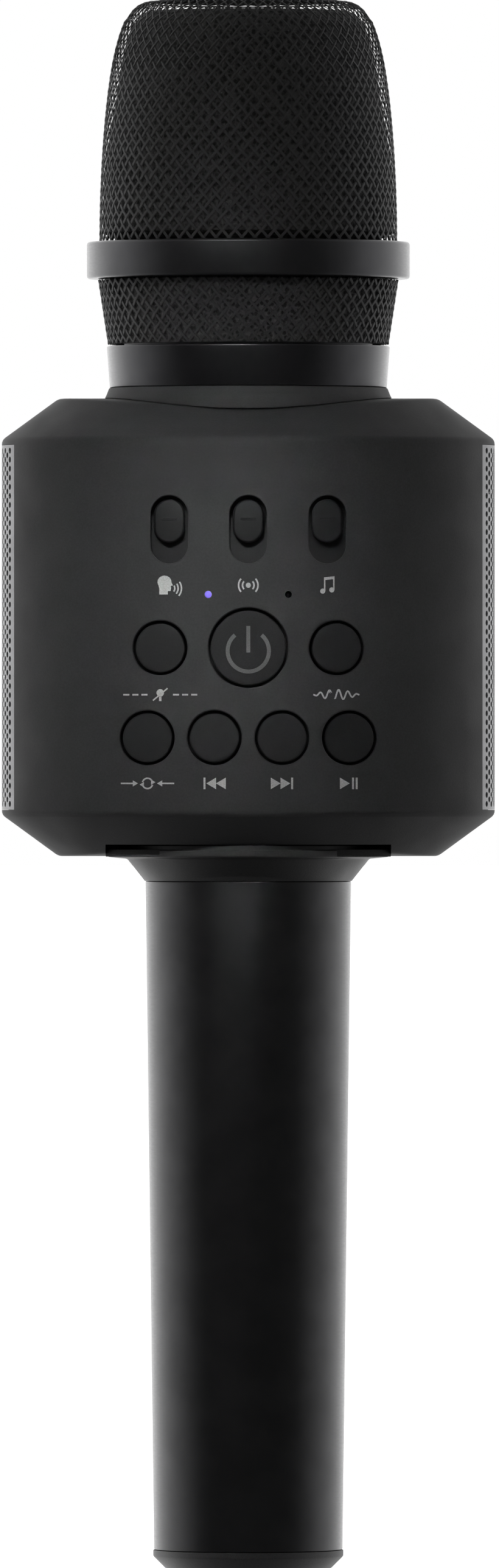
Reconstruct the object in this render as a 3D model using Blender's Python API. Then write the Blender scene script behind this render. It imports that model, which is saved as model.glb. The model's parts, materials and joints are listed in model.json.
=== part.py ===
"""Karaoke microphone with a speaker in each side of its body.

Metres, +Z up.  The origin is the middle of the end cap's flat bottom, the
control panel faces -Y, and +X is to the right of someone facing the panel.
Every piece is an object of its own.  From the top down they are the wire
grille head, the neck, the oval body with its electronics, and the handle.
"""

import math

import bmesh
import bpy
from mathutils import Matrix, Vector

MM = 0.001

# Clearances
GAP = 0.30 * MM
FINE_GAP = 0.15 * MM

# Oval body: an ellipse in plan, chamfered all round at both ends
BODY_HALF_WIDTH = 40.9 * MM
BODY_HALF_DEPTH = 30.0 * MM
BODY_WALL = 1.8 * MM
BODY_LOW = 118.15 * MM
BODY_HIGH = 194.0 * MM
CHAMFER_HEIGHT = 6.85 * MM
CHAMFER_INSET = 9.4 * MM
SIDE_LOW = BODY_LOW + CHAMFER_HEIGHT
SIDE_HIGH = BODY_HIGH - CHAMFER_HEIGHT
CAVITY_LOW = 121.9 * MM
CAVITY_HIGH = BODY_LOW + BODY_HIGH - CAVITY_LOW
CAVITY_MARGIN = 0.91 * MM
OVAL_SEGMENTS = 60

# The ends of the body are crowned: they fall away towards the front and back
CROWN_DROP = 1.97 * MM
CROWN_REACH = 23.5 * MM
CROWN_POWER = 2.8
CROWN_STEPS = 14
CROWN_HALF_SPAN = 32.0 * MM

# Guides for the Boolean cuts reach past the body by these
GUIDE_HALF_WIDTH = 60.0 * MM
GUIDE_HALF_DEPTH = 60.0 * MM
GUIDE_LOW = 100.0 * MM
GUIDE_HIGH = 210.0 * MM
GUIDE_MARGIN = 0.5 * MM
PANEL_GUIDE_Y = (-35.0 * MM, -22.0 * MM)
BACK_GUIDE_Y = (20.0 * MM, 40.0 * MM)

# Channel under the body that takes the handle adaptor's flange
CHANNEL_HALF_WIDTH = 23.6 * MM
CHANNEL_CEILING = 120.1 * MM

# Grille head
DOME_BASE_RADIUS = 24.75 * MM
DOME_BASE_Z = 220.25 * MM
DOME_TOP_Z = 260.0 * MM
DOME_SIDE_HEIGHT = 35.0 * MM
DOME_SQUARE_TERM = 2.68 * MM
DOME_STEEP_TERM = 0.9 * MM
DOME_CORNER_RADIUS = 4.5 * MM
DOME_CORNER_CENTRE = 15.9 * MM
DOME_CORNER_ANGLES = (40.0, 60.0, 80.0)
DOME_SIDE_STEPS = 6
DOME_SIDE_REACH = 1.04
MESH_THICKNESS = 1.2 * MM
BASKET_LOW_RADIUS = 23.35 * MM
BASKET_HIGH_RADIUS = 24.95 * MM
FOAM_STEP = MESH_THICKNESS + 0.4 * MM
FOAM_RADIUS = 21.2 * MM
FOAM_BORE = 16.3 * MM
FOAM_LOW = 208.5 * MM
FOAM_CEILING = 248.0 * MM
FOAM_CEILING_RADIUS = 12.0 * MM
FOAM_BORE_TOP = 244.0 * MM
COLLAR_RADIUS = 26.8 * MM
COLLAR_BORE = 22.6 * MM
COLLAR_LOW = 213.9 * MM
COLLAR_HIGH = 220.0 * MM
COLLAR_FILLET = 1.0 * MM
THREAD_RADIUS = 21.3 * MM
THREAD_TOP = 207.3 * MM

# Capsule, its rubber cradle and the post under them
CAPSULE_RADIUS = 12.7 * MM
CAPSULE_FACE_RADIUS = 11.5 * MM
CAPSULE_LOW = 224.3 * MM
CAPSULE_HIGH = 241.0 * MM
CAPSULE_EDGE = 1.5 * MM
CRADLE_RADIUS = 15.6 * MM
CRADLE_BORE = 9.0 * MM
CRADLE_LOW = 221.5 * MM
CRADLE_HIGH = 230.0 * MM
CRADLE_FLOOR = 2.5 * MM
POST_BORE = 7.8 * MM
POST_FOOT_RADIUS = 9.3 * MM
POST_LOW = 189.0 * MM
POST_PLATE_RADIUS = 18.8 * MM
POST_PLATE_LOW = 199.3 * MM
POST_PLATE_HIGH = 200.8 * MM
POST_RADIUS = 10.5 * MM
POST_FLARE_LOW = 217.5 * MM
POST_HEAD_RADIUS = 13.5 * MM
POST_HEAD_LOW = 220.0 * MM
POST_HIGH = CRADLE_LOW - GAP

# Neck
NECK_BEVEL = 0.25 * MM
NECK_RING_LOW_RADIUS = 23.0 * MM
NECK_RING_HIGH_RADIUS = 23.5 * MM
NECK_RING_BORE = 19.3 * MM
NECK_RING_FLOOR_BORE = 9.8 * MM
NECK_RING_FLOOR = 199.0 * MM
NECK_FLANGE_RADIUS = 23.8 * MM
NECK_FLANGE_TOP_RADIUS = 23.2 * MM
NECK_FLANGE_BORE = 11.0 * MM
NECK_FLANGE_LOW = 190.6 * MM
NECK_STEM_BORE = 9.6 * MM
NECK_CLAMP_RADIUS = 15.0 * MM
NECK_CLAMP_LOW = 187.4 * MM
NECK_RING_LOW = 196.05 * MM
NECK_RING_HIGH = 202.75 * MM
NECK_FLANGE_TOP = 195.8 * MM
NECK_HOLE_RADIUS = 12.3 * MM
NECK_STEM_RADIUS = 12.0 * MM

# Handle
HANDLE_TOP_Z = 113.95 * MM
HANDLE_TOP_RADIUS = 17.07 * MM
HANDLE_LOW_Z = 3.35 * MM
HANDLE_LOW_RADIUS = 15.65 * MM
HANDLE_WALL = 1.65 * MM
ADAPTOR_HOLE_RADIUS = 10.8 * MM
ADAPTOR_STEM_RADIUS = 10.5 * MM
ADAPTOR_BORE = 6.0 * MM
ADAPTOR_SPIGOT_RADIUS = 14.8 * MM
ADAPTOR_SPIGOT_LOW = 104.0 * MM
ADAPTOR_SHOULDER_RADIUS = 17.17 * MM
ADAPTOR_FLARE_RADIUS = 20.1 * MM
ADAPTOR_FLARE_TOP = 117.7 * MM
ADAPTOR_FLANGE_RADIUS = 23.2 * MM
ADAPTOR_FLANGE_LOW = 118.0 * MM
ADAPTOR_FLANGE_TOP = 119.2 * MM
ADAPTOR_PLATE_WIDTH = 30.5 * MM
ADAPTOR_PLATE_DEPTH = 19.6 * MM
ADAPTOR_PLATE_LOW = 118.1 * MM
ADAPTOR_PLATE_TOP = 119.1 * MM
ADAPTOR_KEY_START = 8.0 * MM
ADAPTOR_KEY_REACH = CHANNEL_HALF_WIDTH - GAP
ADAPTOR_KEY_LOW = 118.6 * MM
ADAPTOR_KEY_HALF_DEPTH = 8.0 * MM
ADAPTOR_KEY_TOP = CHANNEL_CEILING - GAP
ADAPTOR_CLAMP_RADIUS = 15.0 * MM
ADAPTOR_CLAMP_TOP = 124.2 * MM
CAP_FACE_RADIUS = 13.75 * MM
CAP_RADIUS = 15.8 * MM
CAP_CHAMFER = 2.05 * MM
CAP_PLUG_RADIUS = 13.6 * MM
CAP_PLUG_BORE = 12.0 * MM
CAP_PLUG_TOP = 9.0 * MM
CAP_FLOOR = 4.5 * MM
HOLDER_RADIUS = 13.4 * MM
HOLDER_LOW = 20.0 * MM
HOLDER_HIGH = 96.0 * MM
HOLDER_WINDOW_LOW = 32.0 * MM
HOLDER_WINDOW_HIGH = 82.0 * MM
HOLDER_WINDOW_Y = -4.0 * MM
CELL_RADIUS = 9.2 * MM
CELL_LENGTH = 65.0 * MM
CELL_LOW = 23.4 * MM
CELL_BUTTON_RADIUS = 2.8 * MM
CELL_BUTTON_HEIGHT = 1.5 * MM

# Controls: places are (x, z) on the front panel
SLOT_HALF_WIDTH = 3.1 * MM
SLOT_HALF_HEIGHT = 5.6 * MM
SLOT_Z = 172.0 * MM
KNOB_HALF_WIDTH = 2.3 * MM
KNOB_HALF_HEIGHT = 3.45 * MM
KNOB_REST_Z = 173.4 * MM
KNOB_SINK = 0.5 * MM
KNOB_CREST = 0.3 * MM
SLIDERS = {"voice": -13.0 * MM, "echo": 0.0, "music": 13.0 * MM}
SMALL_HOLE = 4.5 * MM
POWER_HOLE = 6.6 * MM
BUTTONS = {
    "vocal_cut": (-14.5 * MM, 152.5 * MM, SMALL_HOLE),
    "power": (0.0, 152.5 * MM, POWER_HOLE),
    "effect": (14.5 * MM, 152.5 * MM, SMALL_HOLE),
    "source": (-16.6 * MM, 137.7 * MM, SMALL_HOLE),
    "previous": (-5.56 * MM, 137.7 * MM, SMALL_HOLE),
    "next": (5.56 * MM, 137.7 * MM, SMALL_HOLE),
    "play": (16.6 * MM, 137.7 * MM, SMALL_HOLE),
}
BUTTON_CLEARANCE = 0.35 * MM
BUTTON_SINK = 0.15 * MM
BUTTON_END_Y = -22.2 * MM
BUTTON_EDGE = 0.2 * MM
BUTTON_STEM_RADIUS = 1.6 * MM
SKIRT_OVERLAP = 0.6 * MM
SKIRT_THICKNESS = 0.7 * MM
LIGHT_X = 6.6 * MM
LIGHT_Z = 161.3 * MM
LIGHT_HOLE = 0.65 * MM
LIGHT_RADIUS = 0.5 * MM
LIGHT_FOOT_RADIUS = 1.2 * MM
LIGHT_SHOULDER_Y = -27.0 * MM
LIGHT_FOOT_Y = -25.0 * MM

# Circuit boards
BOARD_FRONT_Y = -19.0 * MM
BOARD_THICKNESS = 1.6 * MM
BOARD_HALF_WIDTH = 24.5 * MM
BOARD_LOW = 133.3 * MM
BOARD_HIGH = 181.3 * MM
BOARD_NOTCH = 2.0 * MM
FADER_TOP_Y = -24.0 * MM
FADER_HALF_WIDTH = 3.5 * MM
FADER_LOW = 163.5 * MM
FADER_HIGH = 180.5 * MM
TRACK_HALF_WIDTH = 1.0 * MM
TRACK_LOW = 167.5 * MM
TRACK_HIGH = 176.0 * MM
TRACK_DEPTH = 3.2 * MM
LEVER_HALF_WIDTH = 0.6 * MM
LEVER_HALF_HEIGHT = 1.5 * MM
LEVER_DEPTH = 2.7 * MM
SHUTTER_HALF_WIDTH = 3.7 * MM
SHUTTER_INSET = BODY_WALL + GAP
SHUTTER_THICKNESS = 0.8 * MM
SHUTTER_LOW = 165.2 * MM
SHUTTER_HIGH = 181.8 * MM
SWITCH_HALF = 2.5 * MM
SWITCH_HEIGHT = 1.6 * MM
SWITCH_TIP_MARGIN = 1.1 * MM
SWITCH_TIP_HEIGHT = 0.7 * MM

# Side speakers
GRILLE_HALF_DEPTH = 9.3 * MM
GRILLE_LOW = 126.1 * MM
GRILLE_HIGH = 186.0 * MM
GRILLE_THICKNESS = 0.8 * MM
WINDOW_HALF_DEPTH = 8.0 * MM
WINDOW_MARGIN = 2.0 * MM
SPEAKER_Z = 156.0 * MM

# Pill-shaped rings of the speakers, in mm: (distance out, half depth, half height)
SPEAKER_FRAME_RINGS = [
    (34.8, 11.0, 23.0),
    (33.2, 11.0, 23.0),
    (33.2, 9.8, 21.8),
    (28.4, 6.0, 13.0),
    (28.4, 4.8, 11.8),
    (32.6, 8.9, 20.9),
    (34.8, 9.2, 21.2),
]
SPEAKER_CONE_RINGS = [
    (29.4, 1.6, 3.6),
    (29.4, 3.2, 7.6),
    (33.3, 8.4, 20.4),
    (33.9, 8.4, 20.4),
    (30.0, 3.2, 7.6),
    (30.9, 1.6, 3.6),
]
SPEAKER_MAGNET_RINGS = [
    (21.5, 8.0, 8.0),
    (28.1, 8.0, 8.0),
]

# Corners of the two leads' routes, in mm
CAPSULE_LEAD_ROUTE = [
    (0.0, 0.0, 223.9),
    (0.0, 0.0, 206.0),
    (0.0, 0.0, 191.0),
    (0.0, -3.0, 184.5),
    (1.0, -9.5, 179.5),
    (2.0, -17.1, 178.0),
]
CAPSULE_LEAD_RADIUS = 1.0 * MM
BATTERY_LEAD_ROUTE = [
    (0.0, 0.0, 88.8),
    (0.0, 0.0, 106.0),
    (0.0, 0.0, 124.0),
    (0.0, -3.0, 131.0),
    (-1.0, -9.5, 136.0),
    (-2.0, -17.1, 137.5),
]
BATTERY_LEAD_RADIUS = 1.2 * MM

# Screws that clamp the two housings together, driven from behind
SCREW_X = 20.0 * MM
SCREW_ROWS = (128.9 * MM, 184.3 * MM)
SCREW_SEAT_Y = 8.0 * MM
WELL_RADIUS = 2.6 * MM
BOSS_RADIUS = 3.8 * MM
PILLAR_RADIUS = 2.5 * MM
PILLAR_HOLE_END = -9.0 * MM
SHANK_HOLE = 1.4 * MM
SHANK_RADIUS = 1.1 * MM
SHANK_END_Y = -6.2 * MM
SHANK_TIP_Y = -7.0 * MM
SCREW_HEAD_RADIUS = 2.2 * MM
SCREW_HEAD_EDGE = 1.0 * MM
SCREW_HEAD_HEIGHT = 1.6 * MM
SCREW_CROWN_RADIUS = 1.5 * MM

# Sockets at the back
SOCKET_Z = 133.0 * MM
SOCKET_HALF_WIDTH = 4.5 * MM
SOCKET_HALF_HEIGHT = 1.6 * MM
JACK_X = 11.0 * MM
JACK_Z = 134.2 * MM
JACK_RADIUS = 2.8 * MM
JACK_BORE = 1.8 * MM
JACK_BACK_Y = 16.0 * MM
JACK_FLOOR = 1.5 * MM
JACK_RECESS = 0.6 * MM
SOCKET_MOUTH_Y = 29.3 * MM
SOCKET_BACK_Y = 22.0 * MM
SOCKET_WALL = 0.5 * MM
SOCKET_BOARD_LOW = (-8.0 * MM, 12.0 * MM)
SOCKET_BOARD_HIGH = (15.0 * MM, 24.5 * MM)

SHARP_ANGLE = math.radians(32.0)

# Colour, roughness and metallic value of each kind of surface
LOOKS = {
    "black_plastic": ((0.035, 0.035, 0.038), 0.55, 0.0),
    "dark_plastic": ((0.020, 0.020, 0.022), 0.50, 0.0),
    "dark_metal": ((0.045, 0.045, 0.048), 0.32, 0.8),
    "wire_mesh": ((0.090, 0.090, 0.095), 0.35, 0.9),
    "silver_metal": ((0.420, 0.420, 0.430), 0.35, 1.0),
    "steel": ((0.500, 0.500, 0.510), 0.30, 1.0),
    "foam": ((0.012, 0.012, 0.013), 0.95, 0.0),
    "rubber": ((0.020, 0.020, 0.020), 0.80, 0.0),
    "board": ((0.020, 0.120, 0.060), 0.50, 0.0),
    "paper": ((0.060, 0.060, 0.065), 0.85, 0.0),
    "battery_wrap": ((0.050, 0.160, 0.420), 0.40, 0.0),
    "lens": ((0.450, 0.350, 1.000), 0.20, 0.0),
    "dark_lens": ((0.015, 0.015, 0.018), 0.20, 0.0),
}


# ---------------------------------------------------------------- helpers

def clear_scene():
    """Remove every object that is already in the scene."""
    for old in list(bpy.data.objects):
        bpy.data.objects.remove(old, do_unlink=True)


def make_material(name, look):
    """Principled material with the colour, roughness and metallic value of a look."""
    colour, roughness, metallic = LOOKS[look]
    material = bpy.data.materials.new(name)
    material.use_nodes = True
    shader = material.node_tree.nodes["Principled BSDF"]
    shader.inputs["Base Color"].default_value = (*colour, 1.0)
    shader.inputs["Roughness"].default_value = roughness
    shader.inputs["Metallic"].default_value = metallic
    material.diffuse_color = (*colour, 1.0)
    return material


def add_object(name, bm, origin=(0.0, 0.0, 0.0)):
    """Make a linked object from a mesh in world coordinates, with its origin at a point."""
    bmesh.ops.recalc_face_normals(bm, faces=bm.faces)
    bmesh.ops.translate(bm, verts=bm.verts, vec=-Vector(origin))
    mesh = bpy.data.meshes.new(name)
    bm.to_mesh(mesh)
    bm.free()
    obj = bpy.data.objects.new(name, mesh)
    obj.location = origin
    bpy.context.scene.collection.objects.link(obj)
    return obj


def add_part(name, bm, look, origin=(0.0, 0.0, 0.0)):
    """Add one visible piece, shaded smooth up to the sharp angle."""
    obj = add_object(name, bm, origin)
    obj.data.materials.append(make_material(name, look))
    obj.data.shade_smooth()
    obj.data.set_sharp_from_angle(angle=SHARP_ANGLE)
    return obj


def add_cutter(name, bm):
    """Add a guide for Boolean modifiers that isn't a piece of the object."""
    obj = add_object(name, bm)
    obj.hide_render = True
    obj.display_type = "WIRE"
    return obj


def combine(target, tool, operation):
    """Apply a Boolean modifier: DIFFERENCE, UNION or INTERSECT."""
    modifier = target.modifiers.new(tool.name, "BOOLEAN")
    modifier.operation = operation
    modifier.solver = "EXACT"
    modifier.object = tool


def loft(bm, rings, closed=False):
    """Skin a list of equal rings of points; the ends are capped unless it is closed."""
    loops = [[bm.verts.new(point) for point in ring] for ring in rings]
    pairs = list(zip(loops, loops[1:]))
    if closed:
        pairs.append((loops[-1], loops[0]))
    for lower, upper in pairs:
        for i in range(len(lower)):
            j = (i + 1) % len(lower)
            bm.faces.new((lower[i], lower[j], upper[j], upper[i]))
    if not closed:
        bm.faces.new(loops[0])
        bm.faces.new(loops[-1])


def turn(bm, outline, segments):
    """Spin an outline of (radius, height) points about Z; axis points close the solid."""
    verts = [bm.verts.new((radius, 0.0, height)) for radius, height in outline]
    edges = []
    for start, end in zip(verts, verts[1:] + verts[:1]):
        if start.co.x > 0.0 or end.co.x > 0.0:
            edges.append(bm.edges.new((start, end)))
    bmesh.ops.spin(bm, geom=verts + edges, cent=(0.0, 0.0, 0.0), axis=(0.0, 0.0, 1.0),
                   angle=2.0 * math.pi, steps=segments, use_merge=True)
    bmesh.ops.remove_doubles(bm, verts=bm.verts, dist=0.001 * MM)


def turned_part(name, outline, look, segments=30):
    """A piece turned about the microphone's own axis."""
    bm = bmesh.new()
    turn(bm, outline, segments)
    return add_part(name, bm, look)


def stand_along_y(bm, x, z):
    """Lay a mesh turned about Z along Y, with its height running to the back."""
    matrix = Matrix.Translation((x, 0.0, z)) @ Matrix.Rotation(math.radians(-90.0), 4, "X")
    bmesh.ops.transform(bm, matrix=matrix, verts=bm.verts)


def place(point, axis, level):
    """Put a flat point at a level along an axis."""
    a, b = point
    if axis == "X":
        return (level, a, b)
    if axis == "Y":
        return (a, level, b)
    return (a, b, level)


def prism(bm, outline, axis, low, high):
    """Straight extrusion of a flat outline between two levels of an axis."""
    loft(bm, [[place(point, axis, level) for point in outline] for level in (low, high)])


def rectangle(a_low, a_high, b_low, b_high):
    """Corners of a rectangle."""
    return [(a_low, b_low), (a_high, b_low), (a_high, b_high), (a_low, b_high)]


def pill(a, b, half_a, half_b, segments=16):
    """Outline with round ends: a circle when both halves are equal."""
    radius = min(half_a, half_b)
    points = []
    for i in range(segments):
        angle = 2.0 * math.pi * (i + 0.5) / segments
        shift_a = math.copysign(half_a - radius, math.cos(angle))
        shift_b = math.copysign(half_b - radius, math.sin(angle))
        points.append((a + shift_a + radius * math.cos(angle), b + shift_b + radius * math.sin(angle)))
    return points


def box_between(bm, low, high):
    """Axis-aligned block between two corners."""
    prism(bm, rectangle(low[0], high[0], low[1], high[1]), "Z", low[2], high[2])


# ------------------------------------------------------- the body's oval

def oval_point(angle, inset=0.0):
    """Point of the plan outline, moved square to it by the inset."""
    across = math.cos(angle)
    along = math.sin(angle)
    normal = Vector((across / BODY_HALF_WIDTH, along / BODY_HALF_DEPTH)).normalized()
    return (BODY_HALF_WIDTH * across - inset * normal.x, BODY_HALF_DEPTH * along - inset * normal.y)


def oval_ring(inset, z):
    """Closed ring round the body at a height."""
    angles = [2.0 * math.pi * i / OVAL_SEGMENTS for i in range(OVAL_SEGMENTS)]
    return [(*oval_point(angle, inset), z) for angle in angles]


def panel_y(x, inset=0.0):
    """Y of the front panel at x, moved in by the inset."""
    half_width = BODY_HALF_WIDTH - inset
    half_depth = BODY_HALF_DEPTH - inset
    return -half_depth * math.sqrt(1.0 - (x / half_width) ** 2)


def oval_band(bm, angles, insets, z_low, z_high):
    """Bent plate that follows the oval between two insets and two heights."""
    outer = [oval_point(angle, insets[0]) for angle in angles]
    inner = [oval_point(angle, insets[1]) for angle in reversed(angles)]
    prism(bm, outer + inner, "Z", z_low, z_high)


def side_angles(side, half_depth, columns=8):
    """Angles of the oval along one side, side being +1 or -1 in x."""
    reach = math.asin(half_depth / BODY_HALF_DEPTH)
    spread = [reach * (2.0 * i / columns - 1.0) for i in range(columns + 1)]
    if side > 0:
        return spread
    return [math.pi - angle for angle in spread]


def front_angles(x_low, x_high, columns=4):
    """Angles of the oval along a stretch of the front panel."""
    xs = [x_low + (x_high - x_low) * i / columns for i in range(columns + 1)]
    return [-math.acos(x / BODY_HALF_WIDTH) for x in xs]


def crown_drop(y):
    """How far an end of the body has fallen away at a depth y."""
    return CROWN_DROP * (abs(y) / CROWN_REACH) ** CROWN_POWER


def crown_block(bm, lift=0.0):
    """Block whose top and bottom are the body's two crowned ends, moved out by lift."""
    ys = [CROWN_HALF_SPAN * (2.0 * i / CROWN_STEPS - 1.0) for i in range(CROWN_STEPS + 1)]
    top = [(y, BODY_HIGH + lift - crown_drop(y)) for y in ys]
    bottom = [(y, BODY_LOW - lift + crown_drop(y)) for y in reversed(ys)]
    prism(bm, top + bottom, "X", -GUIDE_HALF_WIDTH, GUIDE_HALF_WIDTH)


def chamfer_rings(inset, low, high, margin):
    """Rings of an oval solid that is chamfered at both ends."""
    slope = CHAMFER_INSET / CHAMFER_HEIGHT
    side_low = SIDE_LOW + margin
    side_high = SIDE_HIGH - margin
    return [
        oval_ring(inset + (side_low - low) * slope, low),
        oval_ring(inset, side_low),
        oval_ring(inset, side_high),
        oval_ring(inset + (high - side_high) * slope, high),
    ]


# --------------------------------------------------------------- the head

def dome_profile(step):
    """Grille outline from its foot to the axis, moved inwards by a step."""
    points = []
    for i in range(DOME_SIDE_STEPS + 1):
        share = DOME_SIDE_REACH * i / DOME_SIDE_STEPS
        fall = DOME_SQUARE_TERM * share ** 2 + DOME_STEEP_TERM * share ** 8
        drop = step if i == DOME_SIDE_STEPS else 0.0
        points.append((DOME_BASE_RADIUS - fall - step, DOME_BASE_Z + DOME_SIDE_HEIGHT * share - drop))
    centre_z = DOME_TOP_Z - DOME_CORNER_RADIUS - step * 0.5
    centre_radius = DOME_CORNER_CENTRE - step * 0.5
    reach = DOME_CORNER_RADIUS - step * 0.5
    for degrees in DOME_CORNER_ANGLES:
        angle = math.radians(degrees)
        points.append((centre_radius + reach * math.cos(angle), centre_z + reach * math.sin(angle)))
    points.append((0.0, DOME_TOP_Z - step))
    return points


def build_head():
    """Wire grille, its collar, the lower basket and the foam inside them."""
    outer = dome_profile(0.0)
    inner = dome_profile(MESH_THICKNESS)
    turned_part("grille_dome", outer + inner[::-1], "wire_mesh")

    fillet = COLLAR_FILLET
    edge = 0.3 * fillet
    turned_part("grille_collar", [
        (COLLAR_BORE, COLLAR_LOW),
        (COLLAR_RADIUS - fillet, COLLAR_LOW),
        (COLLAR_RADIUS - edge, COLLAR_LOW + edge),
        (COLLAR_RADIUS, COLLAR_LOW + fillet),
        (COLLAR_RADIUS, COLLAR_HIGH - fillet),
        (COLLAR_RADIUS - edge, COLLAR_HIGH - edge),
        (COLLAR_RADIUS - fillet, COLLAR_HIGH),
        (COLLAR_BORE, COLLAR_HIGH),
    ], "dark_metal", segments=36)

    turned_part("lower_basket", [
        (THREAD_RADIUS + GAP, NECK_RING_HIGH + GAP),
        (BASKET_LOW_RADIUS, NECK_RING_HIGH + GAP),
        (BASKET_HIGH_RADIUS, COLLAR_LOW - GAP),
        (BASKET_LOW_RADIUS, COLLAR_LOW - GAP),
        (THREAD_RADIUS + GAP, THREAD_TOP),
    ], "wire_mesh")

    outside = [(radius, z) for radius, z in dome_profile(FOAM_STEP) if z > DOME_BASE_Z]
    turned_part("foam_windscreen", [
        (FOAM_BORE, FOAM_LOW),
        (FOAM_RADIUS, FOAM_LOW),
        (FOAM_RADIUS, DOME_BASE_Z + 1.0 * MM),
        *outside,
        (0.0, FOAM_CEILING),
        (FOAM_CEILING_RADIUS, FOAM_CEILING),
        (FOAM_BORE, FOAM_BORE_TOP),
    ], "foam", segments=20)


def build_capsule():
    """Dynamic capsule, its rubber cradle and the post that carries them."""
    turned_part("mic_capsule", [
        (0.0, CAPSULE_LOW),
        (CAPSULE_RADIUS, CAPSULE_LOW),
        (CAPSULE_RADIUS, CAPSULE_HIGH - CAPSULE_EDGE),
        (CAPSULE_FACE_RADIUS, CAPSULE_HIGH),
        (0.0, CAPSULE_HIGH),
    ], "steel", segments=24)
    turned_part("capsule_cradle", [
        (CRADLE_BORE, CRADLE_LOW),
        (CRADLE_RADIUS, CRADLE_LOW),
        (CRADLE_RADIUS, CRADLE_HIGH),
        (CAPSULE_RADIUS + GAP, CRADLE_HIGH),
        (CAPSULE_RADIUS + GAP, CRADLE_LOW + CRADLE_FLOOR),
        (CRADLE_BORE, CRADLE_LOW + CRADLE_FLOOR),
    ], "rubber", segments=18)
    turned_part("capsule_post", [
        (POST_BORE, POST_LOW),
        (POST_FOOT_RADIUS, POST_LOW),
        (POST_FOOT_RADIUS, POST_PLATE_LOW),
        (POST_PLATE_RADIUS, POST_PLATE_LOW),
        (POST_PLATE_RADIUS, POST_PLATE_HIGH),
        (POST_RADIUS, POST_PLATE_HIGH),
        (POST_RADIUS, POST_FLARE_LOW),
        (POST_HEAD_RADIUS, POST_HEAD_LOW),
        (POST_HEAD_RADIUS, POST_HIGH),
        (POST_BORE, POST_HIGH),
    ], "dark_plastic", segments=20)


# --------------------------------------------------------------- the neck

def build_neck():
    """Polished neck ring with its thread, and the flange that seats on the body."""
    bevel = NECK_BEVEL
    turned_part("neck_ring", [
        (NECK_RING_FLOOR_BORE, NECK_RING_LOW),
        (NECK_RING_LOW_RADIUS - bevel, NECK_RING_LOW),
        (NECK_RING_LOW_RADIUS, NECK_RING_LOW + bevel),
        (NECK_RING_HIGH_RADIUS, NECK_RING_HIGH - bevel),
        (NECK_RING_HIGH_RADIUS - bevel, NECK_RING_HIGH),
        (THREAD_RADIUS, NECK_RING_HIGH),
        (THREAD_RADIUS, THREAD_TOP - 2.0 * bevel),
        (THREAD_RADIUS - 2.0 * bevel, THREAD_TOP),
        (NECK_RING_BORE, THREAD_TOP),
        (NECK_RING_BORE, NECK_RING_FLOOR),
        (NECK_RING_FLOOR_BORE, NECK_RING_FLOOR),
    ], "dark_metal")

    flange = turned_part("neck_flange", [
        (NECK_FLANGE_BORE, NECK_FLANGE_LOW),
        (NECK_FLANGE_RADIUS, NECK_FLANGE_LOW),
        (NECK_FLANGE_RADIUS - 0.4 * bevel, BODY_HIGH),
        (NECK_FLANGE_TOP_RADIUS + 0.8 * bevel, BODY_HIGH + 2.4 * bevel),
        (NECK_FLANGE_TOP_RADIUS, NECK_FLANGE_TOP - bevel),
        (NECK_FLANGE_TOP_RADIUS - bevel, NECK_FLANGE_TOP),
        (NECK_FLANGE_BORE, NECK_FLANGE_TOP),
    ], "black_plastic")
    seat = bmesh.new()
    crown_block(seat, lift=GAP)
    combine(flange, add_cutter("neck_seat_guide", seat), "DIFFERENCE")
    stem = bmesh.new()
    turn(stem, [
        (NECK_STEM_BORE, NECK_CLAMP_LOW),
        (NECK_CLAMP_RADIUS, NECK_CLAMP_LOW),
        (NECK_CLAMP_RADIUS, CAVITY_HIGH - GAP),
        (NECK_STEM_RADIUS, CAVITY_HIGH - GAP),
        (NECK_STEM_RADIUS, NECK_FLANGE_TOP - 2.0 * GAP),
        (NECK_STEM_BORE, NECK_FLANGE_TOP - 2.0 * GAP),
    ], 24)
    combine(flange, add_cutter("neck_stem_guide", stem), "UNION")


# --------------------------------------------------------------- the body

def housing_shell(name, y_low, y_high):
    """One half of the oval shell, open inside, between two depths."""
    bm = bmesh.new()
    loft(bm, chamfer_rings(0.0, BODY_LOW - GUIDE_MARGIN, BODY_HIGH + GUIDE_MARGIN, 0.0))
    shell = add_part(name, bm, "black_plastic")

    crown = bmesh.new()
    crown_block(crown)
    combine(shell, add_cutter(name + "_crown_guide", crown), "INTERSECT")

    cavity = bmesh.new()
    loft(cavity, chamfer_rings(BODY_WALL, CAVITY_LOW, CAVITY_HIGH, CAVITY_MARGIN))
    combine(shell, add_cutter(name + "_cavity_guide", cavity), "DIFFERENCE")

    half = bmesh.new()
    box_between(half, (-GUIDE_HALF_WIDTH, y_low, GUIDE_LOW), (GUIDE_HALF_WIDTH, y_high, GUIDE_HIGH))
    combine(shell, add_cutter(name + "_half_guide", half), "INTERSECT")
    return shell


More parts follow.
